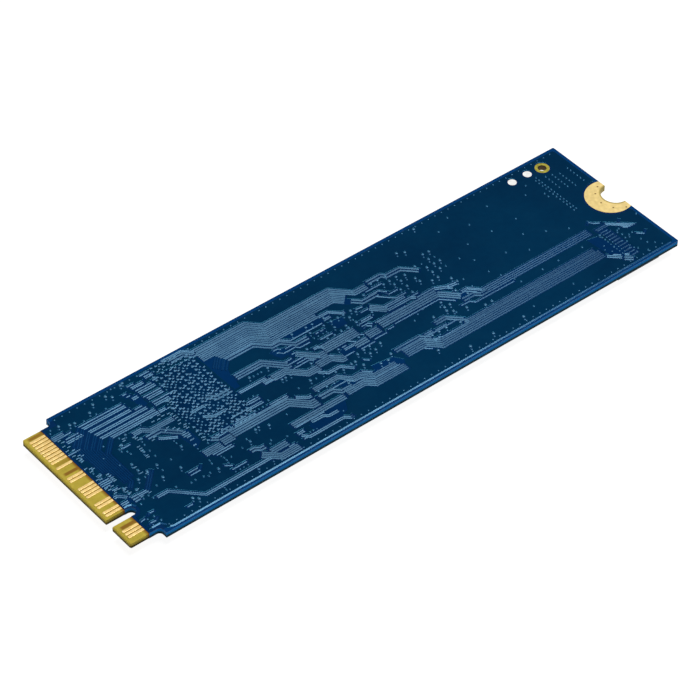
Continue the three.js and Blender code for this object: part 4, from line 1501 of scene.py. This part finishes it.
# Bundles of parallel traces on this side: how many, their pitch, and their centre line's points
COMPONENT_BUNDLES = (
    # data lanes from the contacts through the coupling capacitors to the controller
    (2, 0.3, ((2.7, 7.2), (4.1, 7.2))),
    (2, 0.3, ((2.7, 5.7), (4.1, 5.7))),
    (2, 0.3, ((2.7, 4.2), (4.1, 4.2))),
    (2, 0.3, ((2.7, 2.7), (4.1, 2.7))),
    (2, 0.3, ((2.7, 1.2), (5.2, 1.2), (6.6, 2.6), (12.9, 2.6))),
    (2, 0.3, ((2.7, -0.6), (5.6, -0.6), (7.9, 1.7), (12.9, 1.7))),
    (3, 0.34, ((2.7, -2.4), (4.4, -2.4), (6.9, 0.1), (12.9, 0.1))),
    (4, 0.4, ((2.7, -8.6), (4.2, -8.6), (5.2, -9.6), (11.2, -9.6))),
    # controller to the first flash package, above and below
    (7, 0.34, ((25.1, 8.4), (26.4, 8.4), (27.5, 8.4))),
    (6, 0.34, ((25.1, 5.2), (27.6, 5.2))),
    (6, 0.34, ((25.1, 1.8), (27.6, 1.8))),
    (5, 0.34, ((25.1, -0.9), (26.2, -2.0), (27.6, -2.0))),
    # between the two flash packages
    (4, 0.3, ((41.9, 6.6), (43.1, 6.6))),
    (4, 0.3, ((41.9, 3.1), (43.1, 3.1))),
    (4, 0.3, ((41.9, -1.6), (43.1, -1.6))),
    (4, 0.3, ((41.9, -5.6), (43.1, -5.6))),
    # supplies
    (1, 0.6, ((17.5, -6.9), (18.7, -6.9))),
    (3, 0.6, ((11.6, -6.2), (13.2, -6.2))),
    (2, 0.6, ((26.1, -7.1), (27.5, -7.1))),
    # second flash package to the small package at the screw end
    (3, 0.3, (
        (57.3, 5.8), (60.8, 5.8), (67.9, -1.3), (72.0, -1.3), (73.4, -2.7), (73.4, -3.3),
    )),
    (5, 0.3, ((57.3, -3.4), (60.2, -3.4), (62.2, -5.4), (70.7, -5.4))),
    (4, 0.3, ((57.3, -6.9), (70.7, -6.9))),
    (2, 0.3, ((57.3, 8.2), (66.0, 8.2), (67.6, 6.6))),
    (1, 0.3, ((71.5, 7.6), (69.5, 5.6), (69.5, 2.2))),
    (1, 0.3, ((74.0, 7.9), (71.0, 4.9), (71.0, 1.2))),
)

PACKAGES = ("controller", "flash_1", "flash_2", "bus_buffer")
LEADLESS_CHIPS = {
    # leads along x, leads along y, their pitch, the dimple's radius
    "power_management_chip": ((8, 8), 0.5, 0.2),
    "firmware_flash_chip": ((0, 4), 0.9, 0.2),
    "load_switch_chip": ((0, 3), 0.6, 0.12),
}
INDUCTORS = ("inductor_core_supply", "inductor_flash_supply", "inductor_io_supply")
CAPACITORS = {"coupling_capacitor": 8, "bulk_capacitor": 7, "bypass_capacitor": 4}
RESISTORS = 6


def numbered(counts):
    return [f"{name}_{i + 1}" for name, count in counts.items() for i in range(count)]


def large_nodes():
    return [f"{name}_cap" for name in PACKAGES] + list(LEADLESS_CHIPS) + list(INDUCTORS)


def small_nodes():
    return ["crystal_oscillator"] + numbered(CAPACITORS) + numbered({"resistor": RESISTORS})


def turned_over(shape):
    """The same artwork on the component side: heights are mirrored, and faces turned round."""
    turned = Shape()
    turned.points = [(x, y, UNDERSIDE - (z - BARE)) for x, y, z in shape.points]
    turned.faces = [face[::-1] for face in shape.faces]
    turned.material_of = shape.material_of
    turned.smooth_of = shape.smooth_of
    return turned


def add_ink(shape, outline):
    """A flat patch of silkscreen ink that just stands proud of the pour."""
    rings = (at_height(outline, BARE - SUNK), at_height(outline, POUR_TOP + INK_RISE))
    shape.loft(rings, smooth=False)


def add_ink_corners(shape, x, y, length, width):
    """Angles of silkscreen ink at a part's four corners, and a dot that marks pin 1."""
    for side_x in (-1, 1):
        for side_y in (-1, 1):
            corner = (x + side_x * length / 2, y + side_y * width / 2)
            for step in ((-side_x * INK_ARM, 0), (0, -side_y * INK_ARM)):
                end = (corner[0] + step[0], corner[1] + step[1])
                add_ink(shape, strip((corner, end), INK_WIDTH / 2, INK_WIDTH / 2))
    dot_x = x - length / 2 - INK_DOT_OUT
    dot_y = y + width / 2 - INK_ARM - INK_DOT_DOWN
    add_ink(shape, circle_points(dot_x, dot_y, INK_DOT_RADIUS, 12))


def is_covered(x, y, boxes):
    """Whether a part lies over this place, or nearly."""
    for box_x, box_y, length, width in boxes:
        beside_x = abs(x - box_x) - length / 2
        beside_y = abs(y - box_y) - width / 2
        if beside_x < VIA_MARGIN and beside_y < VIA_MARGIN:
            return True
    return False


def component_copper(boxes, looks):
    """The traces, the vias and the pour of this side, which keep clear of the parts."""
    traces = Shape()
    for bundle in COMPONENT_BUNDLES:
        for line in parallel_lines(*bundle):
            add_trace(traces, line, COMPONENT_TRACE_WIDTH, COMPONENT_TRACE_RISE)
    turned_over(traces).piece("component_side_traces", [looks["trace"]], "solder_mask")
    vias = Shape()
    spots = [spot for spot in via_spots() if not is_covered(spot[0], spot[1], boxes)]
    for x, y, radius in spots:
        add_via(vias, x, y, radius, rise=COMPONENT_VIA_RISE)
    for x, y in stitching_spots():
        add_via(vias, x, y, STITCH_RADIUS, POUR_TOP, STITCH_RISE, count=8)
    turned_over(vias).piece("component_side_vias", [looks["small_via"]], "solder_mask")
    holes = bundle_clearances(COMPONENT_BUNDLES, COMPONENT_CLEARANCE) + via_clearances(spots)
    for x, y, length, width in boxes:
        size = (length + OPENING_LENGTHENED, width + OPENING_WIDENED)
        holes.append(rounded_rectangle(x, y, *size, 0.1))
    pour = turned_over(pour_shape(holes + fixed_clearances()))
    pour.piece("component_side_copper_pour", [looks["pour"]], "solder_mask")


def component_ink(looks):
    shape = Shape()
    for node in large_nodes():
        x, y, length, width = board_box(node)[:4]
        add_ink_corners(shape, x, y, length + 2 * INK_GAP, width + 2 * INK_GAP)
    turned_over(shape).piece("component_side_ink_corners", [looks["ink"]], "solder_mask")


def component_side(looks):
    component_copper([board_box(node)[:4] for node in large_nodes() + small_nodes()], looks)
    component_ink(looks)
    for name in PACKAGES:
        package_cap(name, looks)
        package_substrate(name, looks)
    for name, (counts, pitch, dimple_radius) in LEADLESS_CHIPS.items():
        leadless_chip(name, counts, pitch, dimple_radius, looks)
    for node in INDUCTORS:
        inductor(node, looks)
    crystal("crystal_oscillator", looks)
    for node in numbered(CAPACITORS):
        chip_part(node, f"ceramic_{node}", "ceramic", "capacitor_ceramic", looks)
    for node in numbered({"resistor": RESISTORS}):
        chip_part(node, f"glazed_{node}", "alumina", "resistor_body", looks, glazed=True)
    label(looks)


# ---------- component materials ----------


def speckled_material(name, deep, light, per_mm, bumpiness, rough, specular=0.3, metallic=0.0):
    """A fine-grained surface: two tones that mix in specks, and a slight roughness."""
    n = Nodes(name)
    grain = n.ramp(n.noise(per_mm, 4, 0.65), 0.35, 0.65)
    broad = n.mottle(per_mm / 12, 3)
    tone = n.math("ADD", n.math("MULTIPLY", grain, 0.65), n.math("MULTIPLY", broad, 0.35))
    colour = n.mix(tone, srgb(*deep), srgb(*light))
    roughness = n.mottle(per_mm / 4, 3, rough - 0.06, rough + 0.06)
    n.bump(n.noise(per_mm, 4, 0.65), bumpiness, 0.02)
    return n.look(colour=colour, roughness=roughness, specular=specular, metallic=metallic)


# The level of the paler line in a package substrate's edge
CORE_LEVEL = 1.0


def substrate_material():
    """Green laminate with a paler core line along its edge."""
    n = Nodes("package_substrate")
    layer = n.math("ABSOLUTE", n.subtract(n.axis("Z"), CORE_LEVEL))
    core = n.ramp(layer, 0.02, 0.05, 1.0, 0.0)
    green = n.mix(n.mottle(0.8, 3), srgb(24, 82, 48), srgb(38, 104, 62))
    colour = n.mix(n.math("MULTIPLY", core, 0.6), green, srgb(122, 128, 70))
    n.bump(n.noise(5.0, 3), 0.15, 0.01)
    return n.look(colour=colour, roughness=n.mottle(2.0, 3, 0.35, 0.5), specular=0.4)


# The label's two blank bands: middle and half size along the board, the same across it, and colour
LABEL_BANDS = (
    ((31.5, 1.6), (0.0, 7.6), (40, 92, 140)),
    ((45.03, 9.97), (5.4, 1.1), (186, 190, 194)),
)
BAND_SOFTNESS = 0.06


def label_material():
    """Silvery white film with two blank bands and a faint paper-like mottle."""
    n = Nodes("label_film")
    film = n.mix(n.mottle(6.0, 4), srgb(228, 231, 233), srgb(236, 238, 240))
    for (x, half_x), (y, half_y), colour in LABEL_BANDS:
        within = 1.0
        for value, middle, half in ((n.board_x(), x, half_x), (n.axis("Y"), y, half_y)):
            away = n.math("ABSOLUTE", n.subtract(value, middle))
            inside = n.ramp(away, half, half + BAND_SOFTNESS, 1.0, 0.0)
            within = n.math("MULTIPLY", within, inside)
        film = n.mix(within, film, srgb(*colour))
    n.bump(n.noise(4.0, 3), 0.06, 0.01)
    return n.look(colour=film, roughness=n.mottle(0.9, 3, 0.4, 0.48), specular=0.45)


# Name, deep and light colour, grain per millimetre, bumpiness, roughness, specular level, metallic
SPECKLED = {
    # The dimple's lighter grey is painted sheen; its lower roughness is the polish.
    "polished_sheen": ("mould_dimple_painted_sheen", (48, 48, 51), (66, 66, 70), 4.0, 0.05, 0.3, 0.5),
    "mould": ("mould_compound", (26, 26, 28), (52, 52, 55), 8.0, 0.35, 0.55),
    "solder": ("solder", (186, 188, 190), (220, 222, 222), 4.0, 0.2, 0.35, 0.3, 0.5),
    "ferrite": ("ferrite", (58, 58, 62), (92, 92, 96), 6.0, 0.5, 0.6),
    "ferrite_top": ("ferrite_top", (70, 70, 74), (104, 104, 108), 6.0, 0.4, 0.5),
    "ceramic": ("capacitor_ceramic", (134, 98, 62), (164, 126, 84), 5.0, 0.15, 0.4),
    "alumina": ("alumina", (206, 204, 196), (228, 226, 220), 5.0, 0.15, 0.5),
    "glaze": ("resistor_glaze", (18, 18, 22), (36, 36, 42), 4.0, 0.1, 0.3, 0.5),
    "ceramic_base": ("crystal_base", (168, 150, 118), (190, 172, 140), 5.0, 0.2, 0.5),
    "can": ("crystal_can", (176, 176, 178), (208, 208, 210), 5.0, 0.12, 0.28, 0.3, 0.9),
    "ink": ("silkscreen_ink", (206, 212, 216), (236, 240, 242), 5.0, 0.2, 0.6),
}


def component_looks():
    looks = {key: speckled_material(*values) for key, values in SPECKLED.items()}
    looks["substrate"] = substrate_material()
    looks["label"] = label_material()
    return looks


# ---------- camera, floor and light ----------

CAMERA_TARGET = (37.48, -1.304, 2.12)
CAMERA_AZIMUTH = -40.77
CAMERA_ELEVATION = 43.29
CAMERA_ROLL = 1.576
CAMERA_DISTANCE = 348.271
CAMERA_LENS = 157.72

FLOOR_HALF = 3.0
FLOOR_LEVEL = -0.00005
FLOOR_GREY = 0.14
FLOOR_GLOW = 0.93
WORLD_COLOUR = (0.95, 0.97, 1, 1)
WORLD_STRENGTH = 0.05
SOFTBOX_PLACE = (0.12, -0.06, 0.6)
SOFTBOX_SIZE = (0.52, 0.32)
SOFTBOX_STRENGTH = 5.6


def add_camera():
    azimuth = math.radians(CAMERA_AZIMUTH)
    elevation = math.radians(CAMERA_ELEVATION)
    looking = Vector((
        -math.sin(azimuth) * math.cos(elevation),
        math.cos(azimuth) * math.cos(elevation),
        -math.sin(elevation),
    ))
    data = bpy.data.cameras.new("camera")
    data.lens = CAMERA_LENS
    data.clip_start = 0.01
    camera = bpy.data.objects.new("camera", data)
    bpy.context.scene.collection.objects.link(camera)
    camera.location = in_frame(*CAMERA_TARGET) - looking * CAMERA_DISTANCE * MM
    roll = Matrix.Rotation(math.radians(CAMERA_ROLL), 3, "Z")
    turn = looking.to_track_quat("-Z", "Y").to_matrix() @ roll
    camera.rotation_euler = turn.to_euler()
    bpy.context.scene.camera = camera


def add_floor():
    """Pale paper that glows a little, so that it stays white under the drive's own light."""
    mesh = bpy.data.meshes.new("floor")
    sides = ((-1, -1), (1, -1), (1, 1), (-1, 1))
    corners = [(x * FLOOR_HALF, y * FLOOR_HALF, FLOOR_LEVEL) for x, y in sides]
    mesh.from_pydata(corners, [], [(0, 1, 2, 3)])
    floor = bpy.data.objects.new("floor", mesh)
    bpy.context.scene.collection.objects.link(floor)
    n = Nodes("floor_paper")
    n.look(colour=(FLOOR_GREY, FLOOR_GREY, FLOOR_GREY, 1), roughness=0.9, specular=0.05)
    n.shader.inputs["Emission Color"].default_value = (1, 1, 1, 1)
    n.shader.inputs["Emission Strength"].default_value = FLOOR_GLOW
    mesh.materials.append(n.material)


def add_lights():
    """A faint even light from all round, and one rectangular light that faces straight down."""
    world = bpy.data.worlds.new("studio")
    world.use_nodes = True
    background = world.node_tree.nodes["Background"]
    background.inputs["Color"].default_value = WORLD_COLOUR
    background.inputs["Strength"].default_value = WORLD_STRENGTH
    bpy.context.scene.world = world
    data = bpy.data.lights.new("overhead_softbox", "AREA")
    data.shape = "RECTANGLE"
    data.size, data.size_y = SOFTBOX_SIZE
    data.energy = SOFTBOX_STRENGTH
    light = bpy.data.objects.new("overhead_softbox", data)
    bpy.context.scene.collection.objects.link(light)
    light.location = SOFTBOX_PLACE


# ---------- the whole ----------

KEPT_NODES = {
    "laminate": "laminate",
    "bare_side_solder_mask": "base",
    "component_side_solder_mask": "pour",
    "screw_land": "land",
    "tooling_hole_plating": "ring",
    "test_pad_inner": "tin",
    "test_pad_outer": "tin",
}

looks = {**board_looks(), **component_looks()}
for node, look in KEPT_NODES.items():
    give(node, looks[look])
bare_side(looks)
component_side(looks)
add_camera()
add_floor()
add_lights()
bpy.context.scene.view_settings.view_transform = "Standard"
